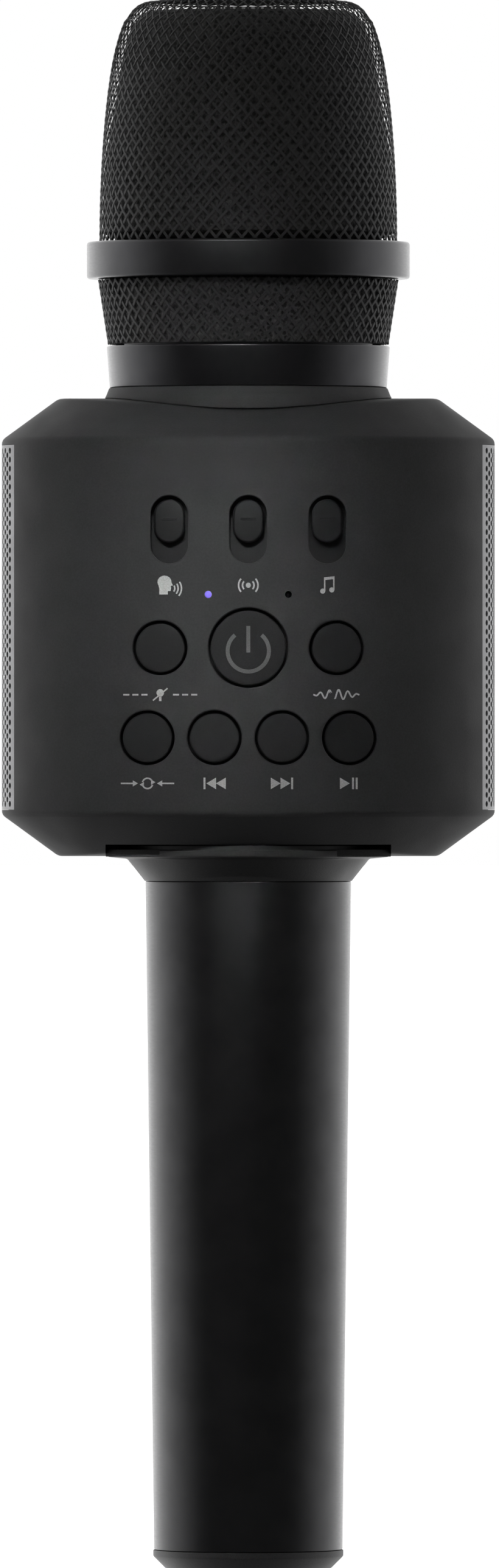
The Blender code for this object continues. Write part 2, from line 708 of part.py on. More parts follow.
def shared_openings(name):
    """Handle channel, the two round holes and the side windows with their recesses."""
    bm = bmesh.new()
    box_between(bm, (-CHANNEL_HALF_WIDTH, -GUIDE_HALF_DEPTH, GUIDE_LOW),
                (CHANNEL_HALF_WIDTH, GUIDE_HALF_DEPTH, CHANNEL_CEILING))
    prism(bm, pill(0.0, 0.0, NECK_HOLE_RADIUS, NECK_HOLE_RADIUS, 28), "Z", SIDE_HIGH, GUIDE_HIGH)
    for side in (-1, 1):
        recess = side_angles(side, GRILLE_HALF_DEPTH + GAP)
        oval_band(bm, recess, (-2.0 * GUIDE_MARGIN, GRILLE_THICKNESS + GAP),
                  GRILLE_LOW - GAP, GRILLE_HIGH + GAP)
    outer = add_cutter(name + "_openings_guide", bm)

    bm = bmesh.new()
    prism(bm, pill(0.0, 0.0, ADAPTOR_HOLE_RADIUS, ADAPTOR_HOLE_RADIUS, 28), "Z", GUIDE_LOW, SIDE_LOW)
    for side in (-1, 1):
        window = side_angles(side, WINDOW_HALF_DEPTH)
        oval_band(bm, window, (-3.0 * GUIDE_MARGIN, 2.0 * BODY_WALL),
                  GRILLE_LOW + WINDOW_MARGIN, GRILLE_HIGH - WINDOW_MARGIN)
    return outer, add_cutter(name + "_windows_guide", bm)


def screw_places():
    """Where the four housing screws are, as (x, z)."""
    return [(x, z) for x in (-SCREW_X, SCREW_X) for z in SCREW_ROWS]


def build_front_housing():
    """Front half with the control panel's openings and four screw pillars."""
    shell = housing_shell("front_housing", -GUIDE_HALF_DEPTH, -FINE_GAP)
    for guide in shared_openings("front"):
        combine(shell, guide, "DIFFERENCE")

    pillars = bmesh.new()
    holes = bmesh.new()
    for x, z in screw_places():
        prism(pillars, pill(x, z, PILLAR_RADIUS, PILLAR_RADIUS, 16), "Y",
              panel_y(x, 0.5 * BODY_WALL), -2.0 * FINE_GAP)
        prism(holes, pill(x, z, SHANK_HOLE, SHANK_HOLE, 12), "Y", PILLAR_HOLE_END, SCREW_SEAT_Y)
    combine(shell, add_cutter("front_pillar_guide", pillars), "UNION")

    for x, z, radius in BUTTONS.values():
        prism(holes, pill(x, z, radius, radius, 24), "Y", *PANEL_GUIDE_Y)
    for x in SLIDERS.values():
        prism(holes, pill(x, SLOT_Z, SLOT_HALF_WIDTH, SLOT_HALF_HEIGHT, 20), "Y", *PANEL_GUIDE_Y)
    for x in (-LIGHT_X, LIGHT_X):
        prism(holes, pill(x, LIGHT_Z, LIGHT_HOLE, LIGHT_HOLE, 10), "Y", *PANEL_GUIDE_Y)
    combine(shell, add_cutter("front_hole_guide", holes), "DIFFERENCE")


def build_rear_housing():
    """Rear half with screw wells and the openings for the two sockets."""
    shell = housing_shell("rear_housing", FINE_GAP, GUIDE_HALF_DEPTH)
    for guide in shared_openings("rear"):
        combine(shell, guide, "DIFFERENCE")

    bosses = bmesh.new()
    holes = bmesh.new()
    for x, z in screw_places():
        prism(bosses, pill(x, z, BOSS_RADIUS, BOSS_RADIUS, 20), "Y",
              2.0 * FINE_GAP, -panel_y(x, 0.5 * BODY_WALL))
        prism(holes, pill(x, z, WELL_RADIUS, WELL_RADIUS, 20), "Y", SCREW_SEAT_Y, GUIDE_HALF_DEPTH)
    combine(shell, add_cutter("rear_boss_guide", bosses), "UNION")

    clear = FINE_GAP * 2.0
    prism(holes, pill(0.0, SOCKET_Z, SOCKET_HALF_WIDTH + clear, SOCKET_HALF_HEIGHT + clear, 16),
          "Y", *BACK_GUIDE_Y)
    prism(holes, pill(JACK_X, JACK_Z, JACK_RADIUS + clear, JACK_RADIUS + clear, 20), "Y", *BACK_GUIDE_Y)
    combine(shell, add_cutter("rear_hole_guide", holes), "DIFFERENCE")
    shanks = bmesh.new()
    for x, z in screw_places():
        prism(shanks, pill(x, z, SHANK_HOLE, SHANK_HOLE, 12), "Y",
              -FINE_GAP, SCREW_SEAT_Y + GUIDE_MARGIN)
    combine(shell, add_cutter("rear_shank_guide", shanks), "DIFFERENCE")


def build_screws():
    """Four pan-head screws at the bottom of the rear wells."""
    names = ("lower_left", "upper_left", "lower_right", "upper_right")
    seat = SCREW_SEAT_Y + FINE_GAP
    for name, (x, z) in zip(names, screw_places()):
        bm = bmesh.new()
        turn(bm, [
            (0.0, SHANK_TIP_Y),
            (SHANK_RADIUS, SHANK_END_Y),
            (SHANK_RADIUS, seat),
            (SCREW_HEAD_RADIUS, seat),
            (SCREW_HEAD_RADIUS, seat + SCREW_HEAD_EDGE),
            (SCREW_CROWN_RADIUS, seat + SCREW_HEAD_HEIGHT),
            (0.0, seat + SCREW_HEAD_HEIGHT),
        ], 12)
        stand_along_y(bm, x, z)
        add_part("housing_screw_" + name, bm, "steel", origin=(x, seat, z))


# ----------------------------------------------------------- the controls

def build_sliders():
    """Three slide controls: a fader on the board and a knob with its dust shutter."""
    for name, x in SLIDERS.items():
        fader = bmesh.new()
        box_between(fader, (x - FADER_HALF_WIDTH, FADER_TOP_Y, FADER_LOW),
                    (x + FADER_HALF_WIDTH, BOARD_FRONT_Y - GAP, FADER_HIGH))
        fader = add_part(name + "_fader", fader, "steel")
        track = bmesh.new()
        box_between(track, (x - TRACK_HALF_WIDTH, FADER_TOP_Y - GUIDE_MARGIN, TRACK_LOW),
                    (x + TRACK_HALF_WIDTH, FADER_TOP_Y + TRACK_DEPTH, TRACK_HIGH))
        combine(fader, add_cutter(name + "_track_guide", track), "DIFFERENCE")

        shutter = bmesh.new()
        oval_band(shutter, front_angles(x - SHUTTER_HALF_WIDTH, x + SHUTTER_HALF_WIDTH),
                  (SHUTTER_INSET, SHUTTER_INSET + SHUTTER_THICKNESS), SHUTTER_LOW, SHUTTER_HIGH)
        knob = add_part(name + "_slider", shutter, "dark_plastic", origin=(x, panel_y(x), KNOB_REST_Z))

        grip = bmesh.new()
        outline = pill(x, KNOB_REST_Z, KNOB_HALF_WIDTH, KNOB_HALF_HEIGHT, 16)
        crest = pill(x, KNOB_REST_Z, KNOB_HALF_WIDTH - KNOB_CREST, KNOB_HALF_HEIGHT - KNOB_CREST, 16)
        loft(grip, [
            [(a, panel_y(a, SHUTTER_INSET + GAP), b) for a, b in outline],
            [(a, panel_y(a, KNOB_SINK + KNOB_CREST), b) for a, b in outline],
            [(a, panel_y(a, KNOB_SINK), b) for a, b in crest],
        ])
        combine(knob, add_cutter(name + "_grip_guide", grip), "UNION")
        lever = bmesh.new()
        box_between(lever, (x - LEVER_HALF_WIDTH, panel_y(x, SHUTTER_INSET + GAP),
                            KNOB_REST_Z - LEVER_HALF_HEIGHT),
                    (x + LEVER_HALF_WIDTH, FADER_TOP_Y + LEVER_DEPTH, KNOB_REST_Z + LEVER_HALF_HEIGHT))
        combine(knob, add_cutter(name + "_lever_guide", lever), "UNION")


def ring_along_y(x, z, radius, y, segments=20):
    """Circle that faces the panel, at one depth."""
    return [(a, y, b) for a, b in pill(x, z, radius, radius, segments)]


def build_buttons():
    """Seven push buttons, each with a retaining skirt and a stem, and their switches."""
    for name, (x, z, hole) in BUTTONS.items():
        cap = hole - BUTTON_CLEARANCE
        skirt = hole + SKIRT_OVERLAP
        skirt_y = panel_y(abs(x) + skirt, BODY_WALL) + GAP
        face_radius = cap - BUTTON_EDGE
        face = [(a, panel_y(a, BUTTON_SINK), b) for a, b in pill(x, z, face_radius, face_radius, 20)]
        edge = [(a, panel_y(a, BUTTON_SINK + BUTTON_EDGE), b) for a, b in pill(x, z, cap, cap, 20)]
        bm = bmesh.new()
        loft(bm, [
            face,
            edge,
            ring_along_y(x, z, cap, skirt_y),
            ring_along_y(x, z, skirt, skirt_y),
            ring_along_y(x, z, skirt, skirt_y + SKIRT_THICKNESS),
            ring_along_y(x, z, BUTTON_STEM_RADIUS, skirt_y + SKIRT_THICKNESS),
            ring_along_y(x, z, BUTTON_STEM_RADIUS, BUTTON_END_Y),
        ])
        add_part(name + "_button", bm, "dark_plastic", origin=(x, panel_y(x), z))

        switch = bmesh.new()
        foot_y = BOARD_FRONT_Y - GAP
        box_between(switch, (x - SWITCH_HALF, foot_y - SWITCH_HEIGHT, z - SWITCH_HALF),
                    (x + SWITCH_HALF, foot_y, z + SWITCH_HALF))
        switch.faces.ensure_lookup_table()
        front = min(switch.faces, key=lambda face: face.calc_center_median().y)
        bmesh.ops.inset_region(switch, faces=[front], thickness=SWITCH_TIP_MARGIN)
        lifted = bmesh.ops.extrude_face_region(switch, geom=[front])
        tip = [item for item in lifted["geom"] if isinstance(item, bmesh.types.BMVert)]
        bmesh.ops.translate(switch, verts=tip, vec=(0.0, -SWITCH_TIP_HEIGHT, 0.0))
        bmesh.ops.delete(switch, geom=[front], context="FACES_ONLY")
        add_part(name + "_switch", switch, "steel")


def build_lights():
    """Light pipes for the lit status lamp and the recessed charge lamp."""
    lamps = {
        "status_light": (-LIGHT_X, 0.1 * MM, "lens"),
        "charge_light": (LIGHT_X, 1.4 * MM, "dark_lens"),
    }
    for name, (x, sink, look) in lamps.items():
        tip_y = panel_y(x, sink)
        bm = bmesh.new()
        turn(bm, [
            (0.0, tip_y),
            (LIGHT_RADIUS, tip_y),
            (LIGHT_RADIUS, LIGHT_SHOULDER_Y),
            (LIGHT_FOOT_RADIUS, LIGHT_FOOT_Y),
            (LIGHT_FOOT_RADIUS, BOARD_FRONT_Y - GAP),
            (0.0, BOARD_FRONT_Y - GAP),
        ], 10)
        stand_along_y(bm, x, LIGHT_Z)
        add_part(name, bm, look, origin=(x, tip_y, LIGHT_Z))


def build_boards():
    """Main board behind the panel and the small board that carries the sockets."""
    bm = bmesh.new()
    outline = [
        (-BOARD_HALF_WIDTH + BOARD_NOTCH, BOARD_LOW),
        (BOARD_HALF_WIDTH - BOARD_NOTCH, BOARD_LOW),
        (BOARD_HALF_WIDTH, BOARD_LOW + BOARD_NOTCH),
        (BOARD_HALF_WIDTH, BOARD_HIGH - BOARD_NOTCH),
        (BOARD_HALF_WIDTH - BOARD_NOTCH, BOARD_HIGH),
        (-BOARD_HALF_WIDTH + BOARD_NOTCH, BOARD_HIGH),
        (-BOARD_HALF_WIDTH, BOARD_HIGH - BOARD_NOTCH),
        (-BOARD_HALF_WIDTH, BOARD_LOW + BOARD_NOTCH),
    ]
    prism(bm, outline, "Y", BOARD_FRONT_Y, BOARD_FRONT_Y + BOARD_THICKNESS)
    add_part("main_board", bm, "board")

    bm = bmesh.new()
    top = SOCKET_Z - SOCKET_HALF_HEIGHT - GAP
    box_between(bm, (*SOCKET_BOARD_LOW, top - BOARD_THICKNESS), (*SOCKET_BOARD_HIGH, top))
    add_part("socket_board", bm, "board")


def build_sockets():
    """Charging socket and line-in jack at the back of the body."""
    wall = SOCKET_WALL
    bm = bmesh.new()
    outside = pill(0.0, SOCKET_Z, SOCKET_HALF_WIDTH, SOCKET_HALF_HEIGHT, 16)
    inside = pill(0.0, SOCKET_Z, SOCKET_HALF_WIDTH - wall, SOCKET_HALF_HEIGHT - wall, 16)
    loft(bm, [
        [(a, SOCKET_BACK_Y, b) for a, b in outside],
        [(a, SOCKET_MOUTH_Y, b) for a, b in outside],
        [(a, SOCKET_MOUTH_Y, b) for a, b in inside],
        [(a, SOCKET_BACK_Y + wall, b) for a, b in inside],
    ])
    add_part("charging_socket", bm, "steel")

    bm = bmesh.new()
    jack_mouth = -panel_y(JACK_X) - JACK_RECESS
    turn(bm, [
        (0.0, JACK_BACK_Y),
        (JACK_RADIUS, JACK_BACK_Y),
        (JACK_RADIUS, jack_mouth),
        (JACK_BORE, jack_mouth),
        (JACK_BORE, JACK_BACK_Y + JACK_FLOOR),
        (0.0, JACK_BACK_Y + JACK_FLOOR),
    ], 20)
    stand_along_y(bm, JACK_X, JACK_Z)
    add_part("line_in_jack", bm, "dark_plastic", origin=(JACK_X, jack_mouth, JACK_Z))


# ------------------------------------------------------------ the speakers

def racetrack_ring(side, x, half_y, half_z):
    """Pill-shaped ring that faces sideways."""
    return [(side * x, a, b) for a, b in pill(0.0, SPEAKER_Z, half_y, half_z, 20)]


def racetrack_part(name, side, rings, look, closed=False):
    """Piece skinned over pill-shaped rings of (x, half depth, half height), in millimetres."""
    bm = bmesh.new()
    loft(bm, [racetrack_ring(side, x * MM, y * MM, z * MM) for x, y, z in rings], closed)
    add_part(name, bm, look)


def build_speakers():
    """Perforated grille, frame, cone and magnet on each side."""
    for prefix, side in (("left", -1), ("right", 1)):
        bm = bmesh.new()
        oval_band(bm, side_angles(side, GRILLE_HALF_DEPTH), (0.0, GRILLE_THICKNESS), GRILLE_LOW, GRILLE_HIGH)
        add_part(prefix + "_speaker_grille", bm, "silver_metal")
        racetrack_part(prefix + "_speaker_frame", side, SPEAKER_FRAME_RINGS, "steel", closed=True)
        racetrack_part(prefix + "_speaker_cone", side, SPEAKER_CONE_RINGS, "paper")
        racetrack_part(prefix + "_speaker_magnet", side, SPEAKER_MAGNET_RINGS, "steel")


# -------------------------------------------------------------- the handle

def adaptor_plate(inner, outer, columns=6):
    """Plan of one wing that fills the channel, rounded like the body's underside."""
    xs = [inner + (outer - inner) * i / columns for i in range(columns + 1)]
    front = [(x, -ADAPTOR_PLATE_DEPTH * math.sqrt(1.0 - (x / ADAPTOR_PLATE_WIDTH) ** 2)) for x in xs]
    return front + [(x, -y) for x, y in reversed(front)]


def build_handle():
    """Adaptor keyed into the body's channel, tapered tube, battery pack and end cap."""
    adaptor = turned_part("handle_adaptor", [
        (ADAPTOR_BORE, ADAPTOR_SPIGOT_LOW),
        (ADAPTOR_SPIGOT_RADIUS, ADAPTOR_SPIGOT_LOW),
        (ADAPTOR_SPIGOT_RADIUS, HANDLE_TOP_Z + GAP),
        (ADAPTOR_SHOULDER_RADIUS, HANDLE_TOP_Z + GAP),
        (ADAPTOR_FLARE_RADIUS, ADAPTOR_FLARE_TOP),
        (ADAPTOR_FLANGE_RADIUS, ADAPTOR_FLANGE_LOW),
        (ADAPTOR_FLANGE_RADIUS, ADAPTOR_FLANGE_TOP),
        (ADAPTOR_STEM_RADIUS, ADAPTOR_FLANGE_TOP),
        (ADAPTOR_STEM_RADIUS, CAVITY_LOW + GAP),
        (ADAPTOR_CLAMP_RADIUS, CAVITY_LOW + GAP),
        (ADAPTOR_CLAMP_RADIUS, ADAPTOR_CLAMP_TOP),
        (ADAPTOR_BORE, ADAPTOR_CLAMP_TOP),
    ], "black_plastic")
    plates, keys = bmesh.new(), bmesh.new()
    for side in (-1, 1):
        inner, outer = sorted((side * ADAPTOR_KEY_START, side * ADAPTOR_KEY_REACH))
        prism(plates, adaptor_plate(inner, outer), "Z", ADAPTOR_PLATE_LOW, ADAPTOR_PLATE_TOP)
        box_between(keys, (inner, -ADAPTOR_KEY_HALF_DEPTH, ADAPTOR_KEY_LOW),
                    (outer, ADAPTOR_KEY_HALF_DEPTH, ADAPTOR_KEY_TOP))
    combine(adaptor, add_cutter("adaptor_plate_guide", plates), "UNION")
    combine(adaptor, add_cutter("adaptor_key_guide", keys), "UNION")

    turned_part("handle_tube", [
        (HANDLE_LOW_RADIUS - HANDLE_WALL, HANDLE_LOW_Z),
        (HANDLE_LOW_RADIUS, HANDLE_LOW_Z),
        (HANDLE_TOP_RADIUS, HANDLE_TOP_Z),
        (HANDLE_TOP_RADIUS - HANDLE_WALL, HANDLE_TOP_Z),
    ], "dark_metal", segments=36)

    turned_part("end_cap", [
        (0.0, 0.0),
        (CAP_FACE_RADIUS, 0.0),
        (CAP_RADIUS, CAP_CHAMFER),
        (CAP_RADIUS, HANDLE_LOW_Z - GAP),
        (CAP_PLUG_RADIUS, HANDLE_LOW_Z - GAP),
        (CAP_PLUG_RADIUS, CAP_PLUG_TOP),
        (CAP_PLUG_BORE, CAP_PLUG_TOP),
        (CAP_PLUG_BORE, CAP_FLOOR),
        (0.0, CAP_FLOOR),
    ], "black_plastic")

    holder = turned_part("battery_holder", [
        (0.0, HOLDER_LOW),
        (HOLDER_RADIUS, HOLDER_LOW),
        (HOLDER_RADIUS, HOLDER_HIGH),
        (CELL_RADIUS + GAP, HOLDER_HIGH),
        (CELL_RADIUS + GAP, CELL_LOW - GAP),
        (0.0, CELL_LOW - GAP),
    ], "dark_plastic", segments=24)
    window = bmesh.new()
    reach = HOLDER_RADIUS + GUIDE_MARGIN
    box_between(window, (-reach, -reach, HOLDER_WINDOW_LOW), (reach, HOLDER_WINDOW_Y, HOLDER_WINDOW_HIGH))
    combine(holder, add_cutter("battery_window_guide", window), "DIFFERENCE")

    cell_top = CELL_LOW + CELL_LENGTH
    turned_part("battery_cell", [
        (0.0, CELL_LOW),
        (CELL_RADIUS, CELL_LOW),
        (CELL_RADIUS, cell_top - CELL_BUTTON_HEIGHT),
        (CELL_BUTTON_RADIUS, cell_top - CELL_BUTTON_HEIGHT),
        (CELL_BUTTON_RADIUS, cell_top),
        (0.0, cell_top),
    ], "battery_wrap", segments=24)


# --------------------------------------------------------------- the leads

def smooth_route(corners, steps=3):
    """Points of a Catmull-Rom curve through the corners."""
    padded = [corners[0]] + corners + [corners[-1]]
    points = []
    for before, start, end, after in zip(padded, padded[1:], padded[2:], padded[3:]):
        for i in range(steps):
            t = i / steps
            points.append(0.5 * (2.0 * start + (end - before) * t
                                 + (2.0 * before - 5.0 * start + 4.0 * end - after) * t ** 2
                                 + (3.0 * start - before - 3.0 * end + after) * t ** 3))
    points.append(corners[-1])
    return points


def build_lead(name, corners, radius):
    """Sheathed two-core lead that is held inside the microphone all the way."""
    curve = bpy.data.curves.new(name, "CURVE")
    curve.dimensions = "3D"
    curve.bevel_depth = radius
    curve.bevel_resolution = 2
    curve.use_fill_caps = True
    points = smooth_route([Vector(corner) * MM for corner in corners])
    spline = curve.splines.new("POLY")
    spline.points.add(len(points) - 1)
    for target, point in zip(spline.points, points):
        target.co = (*point, 1.0)
    obj = bpy.data.objects.new(name, curve)
    obj.data.materials.append(make_material(name, "rubber"))
    bpy.context.scene.collection.objects.link(obj)


def build_leads():
    """One lead from the capsule to the board and one from the cell to the board."""
    build_lead("capsule_lead", CAPSULE_LEAD_ROUTE, CAPSULE_LEAD_RADIUS)
    build_lead("battery_lead", BATTERY_LEAD_ROUTE, BATTERY_LEAD_RADIUS)


def main():
    """Build the microphone."""
    clear_scene()
    build_head()
    build_capsule()
    build_neck()
    build_front_housing()
    build_rear_housing()
    build_screws()
    build_sliders()
    build_buttons()
    build_lights()
    build_boards()
    build_sockets()
    build_speakers()
    build_handle()
    build_leads()


main()
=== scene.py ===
"""Looks of the karaoke microphone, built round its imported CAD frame.

Every new piece stands for a CAD node: it takes the node's body, material slot
and place.  Sizes are in metres, in the CAD's own frame: +Z up, panel to -Y.
"""

import json
import math

import bmesh
import bpy
import numpy as np
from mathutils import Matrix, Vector


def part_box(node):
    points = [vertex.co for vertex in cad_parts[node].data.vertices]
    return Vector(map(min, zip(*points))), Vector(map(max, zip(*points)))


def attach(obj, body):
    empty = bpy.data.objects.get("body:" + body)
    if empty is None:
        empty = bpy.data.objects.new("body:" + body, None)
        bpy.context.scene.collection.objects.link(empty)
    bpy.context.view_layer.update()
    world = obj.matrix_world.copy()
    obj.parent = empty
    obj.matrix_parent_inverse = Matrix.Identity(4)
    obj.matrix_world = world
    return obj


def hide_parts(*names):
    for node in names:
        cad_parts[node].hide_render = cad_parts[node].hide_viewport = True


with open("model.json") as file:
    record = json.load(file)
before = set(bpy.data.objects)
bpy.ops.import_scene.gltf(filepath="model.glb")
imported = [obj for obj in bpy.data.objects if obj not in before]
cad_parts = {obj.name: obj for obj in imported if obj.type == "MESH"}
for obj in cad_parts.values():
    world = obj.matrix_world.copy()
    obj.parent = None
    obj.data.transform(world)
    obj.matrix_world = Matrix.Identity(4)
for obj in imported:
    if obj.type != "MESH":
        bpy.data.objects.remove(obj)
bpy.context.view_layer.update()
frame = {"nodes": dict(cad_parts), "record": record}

MM = 0.001
RECORD = frame["record"]
SLOT_OF = {part["node"]: part["material_slot"] for part in RECORD["subparts"]}
BODY_OF = {node: body for body, nodes in RECORD["behaviour"]["bodies"].items() for node in nodes}
SMOOTH_ANGLE = math.radians(32.0)
EVEN = (1.0, 1.0, 1.0)

# Oval body
HALF_WIDTH = -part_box("left_speaker_grille")[0].x
HALF_DEPTH = 30.0 * MM
BODY_LOW = 118.15 * MM
BODY_HIGH = 194.0 * MM
BODY_MIDDLE = 0.5 * (BODY_LOW + BODY_HIGH)
BODY_HALF_HEIGHT = 0.5 * (BODY_HIGH - BODY_LOW)
BODY_WALL = 1.8 * MM
CHAMFER_HEIGHT = 6.85 * MM
CHAMFER_INSET = 9.4 * MM
CHAMFER_SLOPE = CHAMFER_HEIGHT / CHAMFER_INSET
SIDE_HALF_HEIGHT = BODY_HALF_HEIGHT - CHAMFER_HEIGHT
CROWN_DROP = 1.97 * MM
CROWN_REACH = 23.5 * MM
CROWN_POWER = 2.8
CORNER_BLEND = 0.7 * MM
SKIN_SEGMENTS = 240
CAVITY_HALF_HEIGHT = 34.175 * MM
CAVITY_MARGIN = 0.91 * MM
SEAM = 0.04 * MM
CHANNEL_HALF_WIDTH = 23.6 * MM
CHANNEL_CEILING = 120.1 * MM
NECK_HOLE = 12.3 * MM
ADAPTOR_HOLE = 10.8 * MM
GUIDE_REACH = 60.0 * MM
HOLE_ROUNDING = 0.22 * MM
GAP = 0.3 * MM
FINE_GAP = 0.05 * MM

# Controls and lamps, read from the CAD's own boxes
BUTTONS = ("vocal_cut", "power", "effect", "source", "previous", "next", "play")
SLIDERS = ("voice", "echo", "music")
BUTTON_SKIRT = 0.6 * MM
BUTTON_CLEARANCE = 0.45 * MM
BUTTON_SINK = 0.15 * MM
BUTTON_ROUNDING = 0.2 * MM
SLOT_HALF_WIDTH = 3.1 * MM
SLOT_HALF_HEIGHT = 5.6 * MM
SLOT_Z = 172.0 * MM
SLOT_ROUNDING = 0.18 * MM
KNOB_HALF_WIDTH = 2.5 * MM
KNOB_HALF_HEIGHT = 3.6 * MM
KNOB_Z = 173.4 * MM
KNOB_SINK = 0.5 * MM
KNOB_ROUNDING = 0.4 * MM
SHUTTER_INSET = 2.1 * MM
SHUTTER_THICKNESS = 0.8 * MM
SHUTTER_HALF_WIDTH = 3.7 * MM
LAMP_HOLE = 0.62 * MM
LAMP_ROUNDING = 0.05 * MM

# Openings in the two housings
HOLE_FLOOR = 22.0 * MM
JACK_FLOOR = 20.0 * MM
WELL_FLOOR = 8.0 * MM
WELL_RADIUS = 2.6 * MM
BOSS_RADIUS = 3.8 * MM
JACK_HOLE = 3.1 * MM
SOCKET_HOLE = (4.8 * MM, 1.9 * MM)
WINDOW_HALF_DEPTH = 8.0 * MM
WINDOW_INSETS = (-1.2 * MM, 3.5 * MM)
WINDOW_MARGIN = 2.0 * MM
CUTTER_OVERSHOOT = 1.0 * MM

# Woven grille
WIRE_HALF_WIDTH = 0.27 * MM
TOP_WIRE_HALF_WIDTH = 0.16 * MM
WIRE_HALF_DEPTH = 0.07 * MM
WEAVE_SWING = 0.06 * MM
WEAVE_DEPTH = WIRE_HALF_DEPTH + WEAVE_SWING
WIRES_ROUND = 72
CELL_HEIGHT = 2.37 * MM
WIRE_SIDES = 6
DOME_RADIUS = 24.75 * MM
DOME_LOW = 220.25 * MM
DOME_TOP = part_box("grille_dome")[1].z
DOME_SIDE = 35.0 * MM
DOME_SQUARE_TERM = 2.68 * MM
DOME_STEEP_TERM = 0.9 * MM
DOME_CORNER = 4.5 * MM
DOME_CORNER_CENTRE = 15.9 * MM
DOME_SEAM_ANGLE = math.radians(72.0)
TOP_WIRE_PITCH = 1.6 * MM
BASKET_LOW_RADIUS = 23.35 * MM
BASKET_HIGH_RADIUS = 24.95 * MM

# Side grilles
GRILLE_HALF_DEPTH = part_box("left_speaker_grille")[1].y
GRILLE_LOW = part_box("left_speaker_grille")[0].z
GRILLE_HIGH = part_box("left_speaker_grille")[1].z
GRILLE_THICKNESS = 0.8 * MM
HOLE_PITCH = 1.5 * MM
HOLE_RADIUS = 0.5 * MM

# Handle adaptor
KEY_START = 8.0 * MM
KEY_HALF_DEPTH = 8.0 * MM
KEY_LOW = 118.6 * MM
KEY_HIGH = CHANNEL_CEILING - FINE_GAP
WING_HALF_DEPTH = 20.5 * MM
WING_HALF_SPAN = 31.3 * MM
WING_LOW = 118.1 * MM
WING_HIGH = 119.25 * MM
ADAPTOR_BORE = 6.0 * MM
ADAPTOR_SPIGOT = 14.8 * MM
ADAPTOR_PLUG = 15.0 * MM
LAND_RADIUS = 22.9 * MM
LAND_LOW = 119.0 * MM
LAND_HIGH = CHANNEL_CEILING - 2.0 * FINE_GAP
LAND_BORE = 10.6 * MM


# --------------------------------------------------------------- materials

def add_node(tree, kind, values):
    """New shader node with these values on its inputs."""
    node = tree.nodes.new("ShaderNode" + kind)
    for socket, value in values.items():
        node.inputs[socket].default_value = value
    return node


def drive(material, output, shader_input):
    """Join an output to an input of the material's shader."""
    tree = material.node_tree
    tree.links.new(output, tree.nodes["Principled BSDF"].inputs[shader_input])


def set_gloss(material, source, low, high):
    """Drive the roughness with a texture's value, mapped to a range."""
    tree = material.node_tree
    ramp = add_node(tree, "MapRange", {"From Min": 0.3, "From Max": 0.7, "To Min": low, "To Max": high})
    tree.links.new(source, ramp.inputs["Value"])
    drive(material, ramp.outputs["Result"], "Roughness")


def set_colour(material, source, dark, light, low=0.35, high=0.65):
    """Drive the base colour with a texture's value, between two colours."""
    tree = material.node_tree
    ramp = tree.nodes.new("ShaderNodeValToRGB")
    for element, position, colour in zip(ramp.color_ramp.elements, (low, high), (dark, light)):
        element.position = position
        element.color = (*colour, 1.0)
    tree.links.new(source, ramp.inputs["Fac"])
    drive(material, ramp.outputs["Color"], "Base Color")


def add_bump(material, source, depth):
    """Raise the surface by a texture's value."""
    tree = material.node_tree
    bump = add_node(tree, "Bump", {"Distance": depth, "Strength": 1.0})
    tree.links.new(source, bump.inputs["Height"])
    drive(material, bump.outputs["Normal"], "Normal")


def texture(material, kind, size, stretch=EVEN):
    """Texture whose features are about one size across, fixed to the object."""
    tree = material.node_tree
    place = tree.nodes.new("ShaderNodeTexCoord")
    mapping = add_node(tree, "Mapping", {"Scale": stretch})
    node = add_node(tree, kind, {"Scale": 1.0 / size})
    tree.links.new(place.outputs["Object"], mapping.inputs["Vector"])
    tree.links.new(mapping.outputs["Vector"], node.inputs["Vector"])
    return node


def noise(material, size, detail=3.0, stretch=EVEN):
    """Value of a noise whose blobs are about one size across."""
    node = texture(material, "TexNoise", size, stretch)
    node.inputs["Detail"].default_value = detail
    return node.outputs["Fac"]


def cells(material, size, distance="EUCLIDEAN"):
    """Distance to the middles of scattered cells of about one size."""
    node = texture(material, "TexVoronoi", size)
    node.distance = distance
    return node.outputs["Distance"]


def new_material(name, values):
    """Principled material with these values on its shader's inputs."""
    material = bpy.data.materials.new(name)
    material.use_nodes = True
    shader = material.node_tree.nodes["Principled BSDF"]
    for socket, value in values.items():
        shader.inputs[socket].default_value = value
    return material


def scaled(shade, factor):
    """Colour made lighter or darker."""
    return [channel * factor for channel in shade]


def plastic(name, shade, roughness, grain=0.3 * MM, depth=0.02 * MM, specular=0.5):
    """Moulded plastic with a spark-eroded grain and slightly uneven gloss."""
    material = new_material(name, {"Specular IOR Level": specular})
    fine = noise(material, grain, detail=4.0)
    set_colour(material, fine, scaled(shade, 0.82), scaled(shade, 1.22))
    set_gloss(material, noise(material, 9.0 * MM, detail=2.0), roughness - 0.04, roughness + 0.04)
    add_bump(material, fine, depth)
    return material


def metal(name, shade, roughness, size=0.25 * MM, metallic=1.0, brush=EVEN, depth=0.004 * MM):
    """Metal with fine tooling marks and a slightly uneven polish."""
    material = new_material(name, {"Metallic": metallic})
    fine = noise(material, size, stretch=brush)
    set_colour(material, noise(material, 7.0 * MM), scaled(shade, 0.9), scaled(shade, 1.1))
    set_gloss(material, fine, roughness - 0.02, roughness + 0.02)
    add_bump(material, fine, depth)
    return material


def foam(name):
    """Open-cell foam: pores sunk between matt walls, with painted shade making the pores dark."""
    material = new_material(name, {"Specular IOR Level": 0.2, "Roughness": 0.95})
    pore_hollows_and_shade = cells(material, 0.7 * MM)
    # Painted shade: the colour darkens towards the middle of each pore, where the bump sinks the surface.
    set_colour(material, pore_hollows_and_shade, (0.015, 0.015, 0.0155), (0.05, 0.05, 0.051))
    add_bump(material, pore_hollows_and_shade, 0.25 * MM)
    return material


